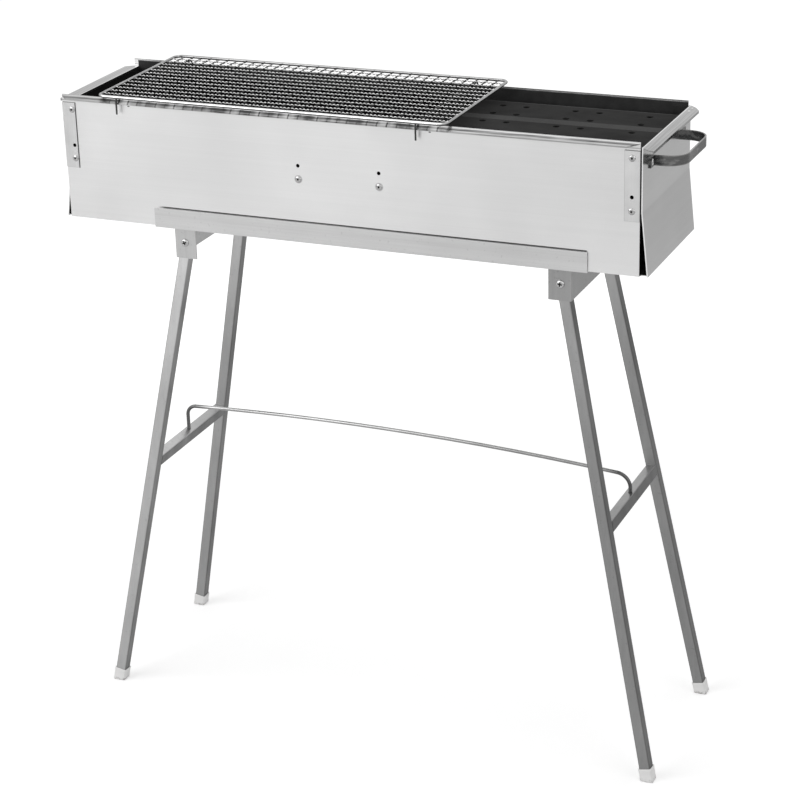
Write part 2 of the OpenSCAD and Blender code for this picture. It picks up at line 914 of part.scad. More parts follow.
module pivot_washers() {
    color(zinc)
        at_pivots()
            difference() {
                pin_y(screw_shank, cheek_inside - washer_thick, cheek_inside);
                pin_y(screw_shank / 2 + pin_clearance, cheek_inside - washer_thick - cut,
                      cheek_inside + cut);
            }
}

// A square with rounded corners
module round_square(width, corner) {
    reach = width / 2 - corner;
    square([width, 2 * reach], center = true);
    square([2 * reach, width], center = true);
    for (x = [-reach, reach], y = [-reach, reach]) {
        translate([x, y])
            circle(r = corner);
    }
}

module tube_section() {
    difference() {
        round_square(tube_width, tube_corner);
        square(tube_width - 2 * tube_wall, center = true);
    }
}

// Carries a leg drawn along Z, with its pivot at the origin, to its place
module at_leg(sx, sy) {
    translate([stand_x + sx * pivot_x, sy * pivot_y, pivot_z])
        rotate([sy * tilt, -sx * splay, 0])
            children();
}

module leg_tube(sx, sy) {
    color(frame_grey)
        difference() {
            at_leg(sx, sy)
                translate([0, 0, -leg_length + cap_floor])
                    linear_extrude(height = leg_length - cap_floor + tube_above)
                        tube_section();
            translate([stand_x + sx * pivot_x, 0, pivot_z])
                pin_y(screw_shank / 2 + pin_clearance, sy * pivot_y - tube_width,
                      sy * pivot_y + tube_width);
        }
}

module left_front_leg() {
    leg_tube(-1, -1);
}

module left_back_leg() {
    leg_tube(-1, 1);
}

module right_front_leg() {
    leg_tube(1, -1);
}

module right_back_leg() {
    leg_tube(1, 1);
}

// The caps of one leg frame, cut level with the floor
module foot_caps(sx) {
    color(cap_white)
        for (sy = [-1, 1]) {
            difference() {
                at_leg(sx, sy)
                    translate([0, 0, -leg_length - cap_width / 2])
                        linear_extrude(height = cap_height + cap_width / 2)
                            round_square(cap_width, tube_corner * 1.5);
                at_leg(sx, sy)
                    translate([0, 0, -leg_length + cap_floor])
                        linear_extrude(height = cap_height)
                            square(tube_width + 2 * weld_gap, center = true);
                translate([stand_x + sx * foot_x, sy * foot_y, -cap_width / 2])
                    cube([3 * cap_width, 3 * cap_width, cap_width], center = true);
            }
        }
}

module left_foot_caps() {
    foot_caps(-1);
}

module right_foot_caps() {
    foot_caps(1);
}

// A crossbar between the inner faces of its two legs, with the rod's hole in its top
module crossbar(sx) {
    color(frame_grey)
        difference() {
            translate([stand_x + sx * crossbar_x, 0, crossbar_height])
                rotate([0, -sx * splay, 0])
                    rotate([90, 0, 0])
                        linear_extrude(height = 2 * crossbar_y, center = true)
                            tube_section();
            for (sy = [-1, 1]) {
                at_leg(sx, sy)
                    translate([0, 0, -leg_length / 2])
                        cube([3 * tube_width, tube_width, 1.6 * leg_length], center = true);
                at_leg(sx, sy)
                    translate([0, sy * tube_width, -leg_length / 2])
                        cube([3 * tube_width, 2 * tube_width, 1.6 * leg_length], center = true);
            }
            translate([stand_x + sx * crossbar_x, 0, crossbar_height])
                cylinder(r = rod_wire / 2 + rod_clearance, h = tube_width);
        }
}

module left_crossbar() {
    crossbar(-1);
}

module right_crossbar() {
    crossbar(1);
}

// A length of rod bent about an axis along Y, in the plane Y = 0
module bent_rod(x, z, radius, from, to, steps) {
    translate([x, 0, z])
        rotate([90, 0, 0])
            rotate([0, 0, from])
                rotate_extrude(angle = to - from, $fn = steps)
                    translate([radius, 0])
                        circle(r = rod_wire / 2, $fn = 48);
}

// Turn of the arch from its top to where an end bend takes over, on the sx side
function arch_turn(sx, bend) = asin((crossbar_x - bend + sx * rod_peak) / (rod_arch - bend));

// The bend and the stub at one end of the arch, drawn on the +X side
module rod_end(turn, bend) {
    bend_x = crossbar_x - bend;
    bend_z = arch_z + (rod_arch - bend) * cos(turn);
    translate([bend_x + bend * sin(turn), 0, bend_z + bend * cos(turn)])
        sphere(r = rod_wire / 2 + rod_bead);
    bent_rod(bend_x, bend_z, bend, 0, 90 - turn, 96);
    translate([crossbar_x, 0, rod_tip])
        cylinder(r = rod_wire / 2, h = bend_z - rod_tip);
    translate([crossbar_x, 0, bend_z])
        sphere(r = rod_wire / 2 + rod_bead);
}

module brace_rod() {
    left_turn = arch_turn(-1, rod_bend_left);
    right_turn = arch_turn(1, rod_bend_right);
    color(zinc)
        translate([stand_x, 0, 0]) {
            bent_rod(-rod_peak, arch_z, rod_arch, 90 - right_turn, 90 + left_turn, 1440);
            rod_end(right_turn, rod_bend_right);
            mirror([1, 0, 0])
                rod_end(left_turn, rod_bend_left);
        }
}

cradle();
left_carrier();
right_carrier();
carrier_rivets();
pivot_screws();
pivot_nuts();
pivot_washers();
left_front_leg();
left_back_leg();
left_crossbar();
left_foot_caps();
right_front_leg();
right_back_leg();
right_crossbar();
right_foot_caps();
brace_rod();
front_panel();
back_panel();
left_end_panel();
right_end_panel();
base_plate();
front_brackets();
back_brackets();
bracket_rivets();
ledge_rivets();
front_ledge();
back_ledge();
carry_handle();
handle_rivets();
rim_rivets();
coal_tray();
grate_rim();
grate_mesh();
grate_hooks();
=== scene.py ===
"""Dresses the folding camp grill: its finishes, its woven grill, its fasteners and its feet.

Lengths are millimetres, apart from the room's, which are metres, and angles are degrees.
X runs along the trough, Y from front to back, and Z up.
"""

import logging
import math
from collections.abc import Mapping, Sequence
from dataclasses import dataclass
from enum import Enum
from typing import Any

import bpy
import numpy as np
from mathutils import Matrix, Vector


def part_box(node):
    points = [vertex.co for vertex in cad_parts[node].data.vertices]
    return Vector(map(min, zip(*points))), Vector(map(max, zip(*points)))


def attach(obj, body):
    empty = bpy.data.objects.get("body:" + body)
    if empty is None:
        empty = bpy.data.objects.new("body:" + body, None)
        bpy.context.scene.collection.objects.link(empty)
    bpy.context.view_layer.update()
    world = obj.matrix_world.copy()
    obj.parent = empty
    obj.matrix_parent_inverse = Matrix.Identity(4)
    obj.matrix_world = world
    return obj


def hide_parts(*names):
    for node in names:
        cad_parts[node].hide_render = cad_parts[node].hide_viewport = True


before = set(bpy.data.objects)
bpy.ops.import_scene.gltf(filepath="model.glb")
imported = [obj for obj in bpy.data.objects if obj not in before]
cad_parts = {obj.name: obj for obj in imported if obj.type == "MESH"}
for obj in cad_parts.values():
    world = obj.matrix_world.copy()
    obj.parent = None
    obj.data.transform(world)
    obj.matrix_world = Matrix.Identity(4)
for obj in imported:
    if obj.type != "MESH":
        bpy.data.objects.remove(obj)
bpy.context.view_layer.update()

log = logging.getLogger("camp_grill")

MM = 0.001
WHITE = (1.0, 1.0, 1.0, 1.0)


# ---- shader sums


@dataclass(frozen=True, eq=False)
class Value:
    """One number socket of a material, so that sums of sockets are written as expressions.

    Args:
        tree: The nodes that the socket belongs to.
        socket: The output socket.
    """

    tree: "Nodes"
    socket: bpy.types.NodeSocket

    def _sum(self, operation: str, *others: "Value | float") -> "Value":
        """Adds one Math node with this value first."""
        return self.tree.math(operation, self, *others)

    def __add__(self, other: "Value | float") -> "Value":
        """This plus other."""
        return self._sum("ADD", other)

    __radd__ = __add__

    def __sub__(self, other: "Value | float") -> "Value":
        """This less other."""
        return self._sum("SUBTRACT", other)

    def __rsub__(self, other: float) -> "Value":
        """Other less this."""
        return self.tree.math("SUBTRACT", other, self)

    def __mul__(self, other: "Value | float") -> "Value":
        """This times other."""
        return self._sum("MULTIPLY", other)

    __rmul__ = __mul__

    def __truediv__(self, other: "Value | float") -> "Value":
        """This over other."""
        return self._sum("DIVIDE", other)

    def __pow__(self, other: float) -> "Value":
        """This to the power of other."""
        return self._sum("POWER", other)

    def __abs__(self) -> "Value":
        """This without its sign."""
        return self._sum("ABSOLUTE")

    def fraction(self) -> "Value":
        """The part above the whole number."""
        return self._sum("FRACT")

    def least(self, other: "Value | float") -> "Value":
        """The smaller of this and other."""
        return self._sum("MINIMUM", other)

    def most(self, other: "Value | float") -> "Value":
        """The larger of this and other."""
        return self._sum("MAXIMUM", other)

    def apart(self, middle: "Value | float", low: float, high: float) -> "Value":
        """The ramp of the distance from a middle, 0 at low and 1 at high."""
        return abs(self - middle).ramp(low, high)

    def ramp(self, low: float, high: float) -> "Value":
        """Rises smoothly from 0 at low to 1 at high, or falls where low is above high.

        Args:
            low: The value that gives 0.
            high: The value that gives 1.

        Returns:
            The eased value between 0 and 1.
        """
        start, end, a, b = (low, high, 0.0, 1.0) if low < high else (high, low, 1.0, 0.0)
        inputs = {"Value": self, "From Min": start, "From Max": end, "To Min": a, "To Max": b}
        smooth = {"interpolation_type": "SMOOTHSTEP"}
        return self.tree.number("Result", "ShaderNodeMapRange", smooth, inputs)


class Nodes:
    """A tree of nodes, filled with one method for every kind of node."""

    def __init__(self, tree: bpy.types.NodeTree) -> None:
        """Empties the tree of a material or of the world."""
        self.tree = tree
        tree.nodes.clear()

    def node(
        self,
        kind: str,
        settings: Mapping[str, Any] | None = None,
        inputs: Mapping[str | int, Any] | None = None,
    ) -> bpy.types.Node:
        """Adds a node, sets it up and feeds it.

        Args:
            kind: The node's type.
            settings: Its properties by name, which are set first.
            inputs: Values, sockets or Value objects by the name or number of its inputs.

        Returns:
            The node.
        """
        made = self.tree.nodes.new(kind)
        for name, setting in (settings or {}).items():
            setattr(made, name, setting)
        self.feed(made, inputs or {})
        return made

    def feed(self, node: bpy.types.Node, inputs: Mapping[str | int, Any]) -> None:
        """Links or sets the inputs of a node.

        Args:
            node: The node to feed.
            inputs: Values, sockets or Value objects by the name or number of its inputs.
        """
        for key, given in inputs.items():
            source = given.socket if isinstance(given, Value) else given
            if isinstance(source, bpy.types.NodeSocket):
                self.tree.links.new(source, node.inputs[key])
            else:
                node.inputs[key].default_value = source

    def math(self, operation: str, *values: "Value | float") -> Value:
        """What one Math node makes of the values, in their order."""
        return self.number(0, "ShaderNodeMath", {"operation": operation}, dict(enumerate(values)))

    def number(self, output: str | int, kind: str, *given: Mapping[Any, Any]) -> Value:
        """One output of a new node, given its properties and then its inputs."""
        return Value(self, self.node(kind, *given).outputs[output])


class Shader(Nodes):
    """The nodes of one material, and the object coordinates of its surface."""

    def __init__(self, name: str) -> None:
        """Starts a material with its main shader, its output and its coordinates.

        Args:
            name: The name of the material.
        """
        self.material = bpy.data.materials.new(name)
        self.material.use_nodes = True
        super().__init__(self.material.node_tree)
        self.main = self.node("ShaderNodeBsdfPrincipled")
        surface = {"Surface": self.main.outputs[0]}
        self.output = self.node("ShaderNodeOutputMaterial", inputs=surface)
        place = self.node("ShaderNodeTexCoord").outputs["Object"]
        parts = self.node("ShaderNodeSeparateXYZ", inputs={0: place}).outputs
        self.spot = [Value(self, socket) / MM for socket in parts]

    def noise(
        self, scale: float | Sequence[float], detail: float = 2.0, roughness: float = 0.5
    ) -> Value:
        """Smooth noise from about -0.2 to 0.2.

        Args:
            scale: How many blobs go to a metre, the same all ways or along X, Y and Z.
            detail: How many finer layers are added.
            roughness: How strong the finer layers are.

        Returns:
            The noise.
        """
        scales = scale if isinstance(scale, Sequence) else [scale] * 3
        spot = {axis: self.spot[axis] * (scales[axis] * MM) for axis in range(3)}
        vector = self.node("ShaderNodeCombineXYZ", inputs=spot).outputs[0]
        inputs = {"Vector": vector, "Scale": 1.0, "Detail": detail, "Roughness": roughness}
        return self.number("Fac", "ShaderNodeTexNoise", {}, inputs) - 0.5

    def shade(self) -> Value:
        """The shade attribute of the surface."""
        return self.number("Fac", "ShaderNodeAttribute", {"attribute_name": "shade"})

    def mix(self, share: "Value | float", first: Any, second: Any) -> bpy.types.NodeSocket:
        """Goes from the first colour to the second as share goes from 0 to 1."""
        settings = {"data_type": "RGBA", "clamp_factor": True}
        return self.node("ShaderNodeMix", settings, {0: share, 6: first, 7: second}).outputs[2]

    def grey(self, tone: Value, warmth: float = 0.0) -> bpy.types.NodeSocket:
        """A grey of a varying tone.

        Args:
            tone: The linear tone, kept between 0.005 and 0.98.
            warmth: The tint, red above 0 and blue below it.

        Returns:
            The colour's socket.
        """
        kept = tone.most(0.005).least(0.98)
        parts = {"Red": kept * (1 + warmth), "Green": kept, "Blue": kept * (1 - warmth)}
        return self.node("ShaderNodeCombineColor", inputs=parts).outputs[0]

    def paint(
        self, colour: bpy.types.NodeSocket, roughness: Value, metallic: "Value | float" = 0.0
    ) -> None:
        """Feeds the main shader, where metallic is 1 for metal."""
        inputs = {"Base Color": colour, "Roughness": roughness, "Metallic": metallic}
        self.feed(self.main, inputs)

    def bump(self, height: Value, depth: float, strength: float) -> None:
        """Feeds its normal from a height of 0 to 1, where 1 stands for the depth."""
        inputs = {"Height": height, "Distance": depth * MM, "Strength": strength}
        self.feed(self.main, {"Normal": self.node("ShaderNodeBump", inputs=inputs).outputs[0]})


def tinted(tone: float, warmth: float = 0.0) -> tuple[float, float, float, float]:
    """A grey of that linear tone, a little red where warmth is above 0 and blue below it."""
    return (tone * (1 + warmth), tone, tone * (1 - warmth), 1.0)


# ---- finishes


class Grain(Enum):
    """The way that a surface was brushed, as the scale of a streak along X, Y and Z per metre."""

    ALONG_X = (5.0, 1500.0, 1500.0)
    ALONG_Y = (1500.0, 5.0, 1500.0)
    ALONG_Z = (1500.0, 1500.0, 5.0)
    NONE = (900.0, 900.0, 900.0)


@dataclass(frozen=True)
class Hollow:
    """The inside of the trough, where painted shade darkens the sheet.

    Args:
        half_y: The inner faces of the long panels, from the middle.
        middle_x: The middle between the end panels.
        half_x: Their inner faces, from that middle.
        floor: The top of the base plate.
        rim: The height of the rim, below which the dark starts.
        bare: The width of the pale band that is left under the rim.
        tone: The tone of the dark.
    """

    half_y: float = 100.4
    middle_x: float = -12
    half_x: float = 398.4
    floor: float = 690.6
    rim: float = 860
    bare: float = 2.0
    tone: float = 0.014

    def share(self, shader: Shader) -> Value:
        """How dark each point is: 1 well inside, 0 outside, uneven towards the rim.

        Args:
            shader: The material.

        Returns:
            The share of the dark.
        """
        x, y, z = shader.spot
        edge = 0.1
        ragged = shader.noise((30, 30, 6), detail=3.0)
        band = z + 1 + ragged * 2
        across = abs(y).ramp(self.half_y, self.half_y - edge)
        along = x.apart(self.middle_x, self.half_x, self.half_x - edge)
        above = z.ramp(self.floor - edge, self.floor)
        below = band.ramp(self.rim, self.rim - self.bare)
        return across * along * above * below


@dataclass(frozen=True)
class PanelMarks:
    """The painted shade and painted reflection on the outside of the long panels.

    Args:
        middle_x: The middle of the trough.
        bracket_x: The inner edges of the corner brackets, from that middle.
        bracket_z: The bottom and the top of the brackets.
        face_y: The outer faces of the panels, from the middle plane.
        rim: The height of the rim.
        hem: The height of the hem below the rim.
        rivet_x: The middle rivets, from the middle of the trough.
        rivet_z: The height of those rivets.
        cradle_x: The ends of the cradle's lip.
        cradle_z: The height of its edge.
        dents: The X of the two small dark dents under the hem of the front.
        dent_z: Their height.
        rack_x: The ends of the grill rack, whose wires are painted on the hem as a reflection.
        rack_pitch: The distance between those wires.
    """

    middle_x: float = -16
    bracket_x: float = 381
    bracket_z: tuple[float, float] = (760.5, 849)
    face_y: float = 101
    rim: float = 860
    hem: float = 7.5
    rivet_x: float = 56.5
    rivet_z: float = 773
    cradle_x: tuple[float, float] = (-282, 318)
    cradle_z: float = 715.5
    dents: tuple[float, float] = (-315.5, 111.5)
    dent_z: float = 850.6
    rack_x: tuple[float, float] = (-355, 137)
    rack_pitch: float = 492 / 36

    def lines(self, shader: Shader) -> Value:
        """The painted shade along edges, from 0 to 1.

        It is a thin dark line of painted shade along the inner side and the two ends of each
        bracket, under the hem, above the cradle's lip, round the middle rivets and in two small
        dents.

        Args:
            shader: The material.

        Returns:
            The strength of the painted shade.
        """
        x, y, z = shader.spot
        line, fade = 1.5, 0.5
        across = abs(x - self.middle_x)
        low, high = self.bracket_z
        beside = across.apart(self.bracket_x, line, fade)
        left = x.ramp(self.middle_x, self.middle_x - 1)
        beside = beside * z.ramp(low - line, low) * z.ramp(high + line, high)
        inward = across.ramp(self.bracket_x - line, self.bracket_x)
        foot = z.apart(low, 1.1, 0.3) * inward
        top = z.apart(high, 1.3, 0.4) * inward
        ring = (across - self.rivet_x) ** 2.0 + (z - self.rivet_z) ** 2.0
        rivet_shade = ring.ramp(6.2**2, 4.6**2)
        hem_shade = z.apart(self.rim - self.hem, 1.2, 0.3)
        start, end = self.cradle_x
        painted_light = z.apart(self.cradle_z + 0.9, 1.0, 0.5)
        painted_light = painted_light * x.ramp(start, start + 12) * x.ramp(end, end - 2)
        # Painted shade: thin dark lines by the brackets, round the rivets, under the hem and over
        # the cradle's lip.
        darkening = (beside * (0.30 + left * 0.60)).most(foot * 0.4).most(top * 0.75)
        darkening = darkening.most(rivet_shade * 0.35).most(hem_shade * 0.4).most(painted_light * 0.92)
        # Painted shade in the two dents of the front.
        front = y.ramp(0, -1)
        for dent in self.dents:
            spread = ((x - dent) * 0.5) ** 2.0 + (z - self.dent_z) ** 2.0
            darkening = darkening.most(spread.ramp(1.1**2, 0.5**2) * front * 0.8)
        return darkening

    def share(self, shader: Shader) -> Value:
        """What each point's tone is multiplied by.

        The hem is darkened with painted shade, streaked along its length and darkest along its
        middle, and under the grill rack it carries a painted reflection of the rack's wires. The
        folded top edge above it is darkened with painted shade as well.

        Args:
            shader: The material.

        Returns:
            The factor, near 1 on the plain sheet.
        """
        x, y, z = shader.spot
        outside = abs(y).ramp(self.face_y + 0.1, self.face_y + 0.5)
        streak = shader.noise((26, 900, 900), detail=3.0)
        groove = abs(y).apart(self.face_y + 2.2, 1.8, 0.4)
        # Painted shade on the hem, darkest along its groove.
        shade_dim = 0.50 + groove * 0.26 + streak * 0.9
        # Painted reflection of the rack's wires on the hem, as paler cells over painted shade under
        # the rack.
        start, end = self.rack_x
        under = x.ramp(start - 6, start + 6) * x.ramp(end + 6, end - 6)
        cell = ((x - start) / self.rack_pitch).fraction().apart(0.5, 0.5, 0.36)
        patch = shader.noise((30, 0, 0)).ramp(-0.15, 0.15)
        shade_dim = shade_dim + under * (0.34 - cell * 0.5 * patch)
        # Painted shade on the folded top edge.
        fold = z.ramp(self.rim - 1.3, self.rim - 0.5) * (1.0 - outside)
        plain = 1.0 - outside * shade_dim.least(0.92)
        return plain * (1.0 - self.lines(shader)) * (1.0 - fold * 0.50)


@dataclass(frozen=True)
class EndMarks:
    """The marks on the end panels: painted shade on the flanges, and painted highlights on the
    folds at the top and along the front edges.

    Args:
        folds_x: The outer faces of the left and right panels, from the trough's middle.
        folds_z: The heights of the folds over them.
        middle_x: The middle of the trough.
        edge_y: The front edges of the panels, from the middle plane.
    """

    folds_x: tuple[float, float] = (395, 403)
    folds_z: tuple[float, float] = (849.5, 854)
    middle_x: float = -16
    edge_y: float = 101

    def share(self, shader: Shader) -> Value:
        """What each point's tone is multiplied by.

        Args:
            shader: The material.

        Returns:
            The factor, near 1 on the plain sheet.
        """
        x, y, z = shader.spot
        shade_dim, bright = None, None
        for side, fold_x, fold_z in zip((-1.0, 1.0), self.folds_x, self.folds_z):
            out = (x - self.middle_x) * side - fold_x
            # Painted shade on the flange, and a painted highlight on the fold above it.
            flange = out.ramp(0.1, 0.6) * z.ramp(fold_z - 10, fold_z - 9)
            fold = out.apart(-0.6, 1.3, 0.5) * z.ramp(fold_z - 1.2, fold_z)
            shade_dim = flange if shade_dim is None else shade_dim.most(flange)
            bright = fold if bright is None else bright.most(fold)
        streak = shader.noise((700, 9, 700), detail=3.0)
        # Painted highlight along the front edge.
        edge = abs(y).ramp(self.edge_y - 1.4, self.edge_y - 0.8)
        level = 1.0 - shade_dim * (0.36 + streak * 0.7)
        return level + bright * 0.5 + edge * (1.0 - shade_dim) * 0.8


@dataclass(frozen=True)
class TubeMarks:
    """The leg tubes: painted shade on the two faces that look along the grill and in dark fold
    lines, painted light that makes the left tubes paler, and painted shade towards the floor.

    Args:
        middle_x: The middle of the stand.
        pivot: The pivots' distance from that middle, and their height.
        slope: How far a leg runs outwards for its drop.
        half: Half the width of a tube.
        paler: How much paler painted light makes the left tubes, and how much more the front one of
            them.
        unshaded: The heights between which the painted shade on the lower tubes fades out.
        lower: The tone below them, and what is gained above them.
    """

    middle_x: float = 16
    pivot: tuple[float, float] = (264, 667)
    slope: float = 133 / 667
    half: float = 7.5
    paler: tuple[float, float] = (0.30, 0.40)
    unshaded: tuple[float, float] = (420, 660)
    lower: tuple[float, float] = (0.93, 0.32)

    def share(self, shader: Shader) -> Value:
        """What each point's tone is multiplied by.

        The distance across a tube is measured from its sloping axis, square to it.

        Args:
            shader: The material.

        Returns:
            The factor.
        """
        x, y, z = shader.spot
        pivot_x, pivot_z = self.pivot
        run = abs(x - self.middle_x) - pivot_x + (z - pivot_z) * self.slope
        across = abs(run * math.cos(math.atan(self.slope)))
        # Painted shade on the side faces and along the edges between the faces.
        side = across.ramp(self.half - 0.7, self.half - 0.2)
        fold = across.apart(self.half - 0.9, 0.6, 0.2)
        left = x.ramp(self.middle_x + 60, self.middle_x - 60)
        front = y.ramp(60, -60)
        stain = shader.noise((30, 30, 9), detail=3.0)
        more, most = self.paler
        # Painted light: the left tubes, and the front left one most, are paler.
        level = 1.1 + left * more + left * front * most + stain * 0.3
        tone, gain = self.lower
        # Painted shade: darker towards the floor.
        level = level * (tone + z.ramp(*self.unshaded) * gain)
        return level * (1.0 - side * (0.62 - stain * 0.5)) * (1.0 - fold * 0.3)


@dataclass(frozen=True)
class RodMarks:
    """The brace rod: darker towards its two bent ends.

    Args:
        middle_x: The middle of the rod.
        bend_x: Where the bends begin and where they are darkest, from that middle.
        strength: How much darker they are.
    """

    middle_x: float = 16
    bend_x: tuple[float, float] = (285, 318)
    strength: float = 0.66

    def share(self, shader: Shader) -> Value:
        """What each point's tone is multiplied by."""
        return 1.0 - shader.spot[0].apart(self.middle_x, *self.bend_x) * self.strength


@dataclass(frozen=True)
class UnderShade:
    """Painted shade on the underside of a level frame of wire, whose ends and back are darker too.

    Args:
        middle_x: The middle of the frame.
        end_x: How far the ends are from that middle.
        back_y: The Y of the back wire.
        end_strength: How much darker the ends and the back are.
        unshaded_z: The height above which the wire has no painted shade.
        black_z: The height below which it is black.
        strength: How much the painted shade darkens it.
    """

    middle_x: float = -109
    end_x: float = 243
    back_y: float = 110
    end_strength: float = 0.55
    unshaded_z: float = 865.3
    black_z: float = 864.2
    strength: float = 0.86

    def share(self, shader: Shader) -> Value:
        """What each point's tone is multiplied by.

        Args:
            shader: The material.

        Returns:
            The factor, from 1 down to what the painted shade leaves.
        """
        x, y, z = shader.spot
        # Painted shade on the lower half of the wire.
        below = z.ramp(self.unshaded_z, self.black_z) * self.strength
        ends = x.apart(self.middle_x, self.end_x - 4, self.end_x)
        ends = ends.most(y.ramp(self.back_y - 4, self.back_y))
        return (1.0 - below) * (1.0 - ends * self.end_strength)


@dataclass(frozen=True)
class BrushedSteel:
    """Bare steel sheet, tube or wire with a brushed or rolled grain.

    Args:
        name: The material's name.
        tone: The linear grey that it reflects.
        grain: The way of the brushing.
        roughness: How blurred its reflections are.
        streaks: How much the tone changes from streak to streak.
        clouds: How much the tone changes over the whole sheet.
        cloud_size: The width of a cloud.
        grain_depth: The depth of the brushing.
        specks: How strong the small dark specks are.
        hollow: The inside that is darkened with painted shade, if there is one.
        marks: Painted shade, painted highlights and darker places, if there are any.
        paler_left: How much paler painted light makes the left end than the right one.
    """

    name: str
    tone: float
    grain: Grain = Grain.ALONG_X
    roughness: float = 0.34
    streaks: float = 0.10
    clouds: float = 0.10
    cloud_size: float = 160
    grain_depth: float = 0.02
    specks: float = 0.0
    hollow: Hollow | None = None
    marks: "PanelMarks | EndMarks | TubeMarks | RodMarks | UnderShade | None" = None
    paler_left: float = 0.0

    def material(self) -> bpy.types.Material:
        """Builds the finish.

        The tone is the plain tone, plus a wide noise for the clouds, a fine noise stretched along
        the brushing for the streaks, and small dark spots where a third noise is high. The
        same streaks lift the roughness and the bump.

        Returns:
            The material.
        """
        shader = Shader(self.name)
        scales = self.grain.value
        fine = shader.noise(scales, detail=3.0, roughness=0.6)
        coarse = shader.noise([scale * 0.12 for scale in scales])
        broad = shader.noise(1 / (self.cloud_size * MM))
        level = 1.0 + fine * (2.2 * self.streaks) + coarse * (1.6 * self.streaks)
        level = level + broad * (3.0 * self.clouds)
        if self.specks:
            level = level - shader.noise(260, detail=1.0).ramp(0.16, 0.24) * self.specks
        # Painted light: the left end is made paler.
        if self.paler_left:
            level = level * (1.0 + shader.spot[0].ramp(200, -200) * self.paler_left)
        # Painted shade and painted highlights of the marks.
        if self.marks:
            level = level * self.marks.share(shader)
        colour = shader.grey(level * self.tone)
        rough = self.roughness + fine * 0.16 + broad * 0.10
        metal = 1.0
        # Painted shade: the inside of the trough is mixed towards a mottled dark tone and made less
        # metallic.
        if self.hollow:
            inside, dark = self.hollow.share(shader), self.hollow.tone
            painted_shade = shader.noise(60, detail=4.0).ramp(-0.2, 0.2)
            painted_dark = shader.mix(painted_shade, tinted(dark * 0.7), tinted(dark * 1.5))
            colour = shader.mix(inside, colour, painted_dark)
            rough = rough + inside * 0.25
            metal = 1.0 - inside * 0.8
        shader.paint(colour, rough.most(0.08), metal)
        shader.bump(fine + coarse * 0.6, self.grain_depth, 0.5)
        return shader.material


@dataclass(frozen=True)
class CoalPlate:
    """The charcoal-grey tray: mill scale and mottled, with painted highlights along its ridge and
    its folds, and painted shade under the grill rack.

    Args:
        name: The material's name.
        tone: The tone of the plate.
        ridge_half: Half the width of the ridge's painted highlight.
        top_half: Half the width of the flat top.
        shade_x: Where the painted shade under the grill rack is full and where it ends.
        painted_shade: How much the painted shade darkens the plate.
    """

    name: str = "coal_plate"
    tone: float = 0.040
    ridge_half: float = 9
    top_half: float = 75.5
    shade_x: tuple[float, float] = (40, 190)
    painted_shade: float = 0.92

    def material(self) -> bpy.types.Material:
        """Builds the finish: two noises mottle the tone, the ridge and the folds get painted
        highlights, and the part under the grill rack gets painted shade.

        Returns:
            The material.
        """
        shader = Shader(self.name)
        x, y, _ = shader.spot
        patch = shader.noise((14, 22, 22), detail=4.0, roughness=0.6)
        grit = shader.noise(700)
        # Painted highlights on the ridge and along the folds.
        ridge = abs(y).ramp(self.ridge_half + 0.6, self.ridge_half - 0.6)
        fold = abs(y).apart(self.top_half, 1.7, 0.5)
        painted_light = (ridge * 0.8).most(fold * 1.6)
        # Painted shade under the grill rack.
        start, end = self.shade_x
        unshaded = 1.0 - x.ramp(end, start) * self.painted_shade
        level = (1.0 + patch * 1.1 + grit * 0.5 + painted_light) * unshaded
        colour = shader.grey(level * self.tone, 0.005)
        rough = 0.52 + patch * 0.3 + grit * 0.2 - painted_light * 0.12
        shader.paint(colour, rough)
        shader.feed(shader.main, {"Specular IOR Level": 0.0})
        shader.bump(grit * 0.4 + patch, 0.06, 0.6)
        return shader.material


@dataclass(frozen=True)
class HeatBlued:
    """A strap of steel darkened by heat, with worn patches and painted highlights.

    Args:
        name: The material's name.
        tone: The tone of the dark oxide.
        shine: The tone of the worn places and of the painted highlights.
        middle_z: The height of the strap's middle.
        edge: How far from it the painted highlight on the edges begins, and where it is full.
        near_y: Where the painted light on the front arm begins, and where it is full.
        near_x: The same along the arm.
    """

    name: str = "heat_blued_strap"
    tone: float = 0.06
    shine: float = 0.38
    middle_z: float = 827
    edge: tuple[float, float] = (4.9, 6.3)
    near_y: tuple[float, float] = (10, -30)
    near_x: tuple[float, float] = (391, 404)

    def material(self) -> bpy.types.Material:
        """Builds the finish: a dark tone with streaks along the strap, worn patches, and painted
        highlights on its edges and its front arm.

        Returns:
            The material.
        """
        shader = Shader(self.name)
        x, y, z = shader.spot
        streak = shader.noise((60, 60, 1600), detail=3.0)
        patch = shader.noise((55, 55, 120), detail=3.0)
        # Painted highlight along the strap's edges, and painted light on the front arm.
        edge = z.apart(self.middle_z, *self.edge)
        near = y.ramp(*self.near_y) * x.ramp(*self.near_x)
        wear_and_highlight = patch.ramp(0.0, 0.18) * 0.35 + streak * 0.4 + edge * 0.4 + near * 0.25
        wear_and_highlight = wear_and_highlight.most(0.0)
        colour = shader.mix(wear_and_highlight, tinted(self.tone, -0.02), tinted(self.shine, 0.01))
        rough = 0.27 + streak * 0.2 + patch * 0.1
        shader.paint(colour, rough, 0.9)
        shader.bump(streak, 0.03, 0.6)
        return shader.material


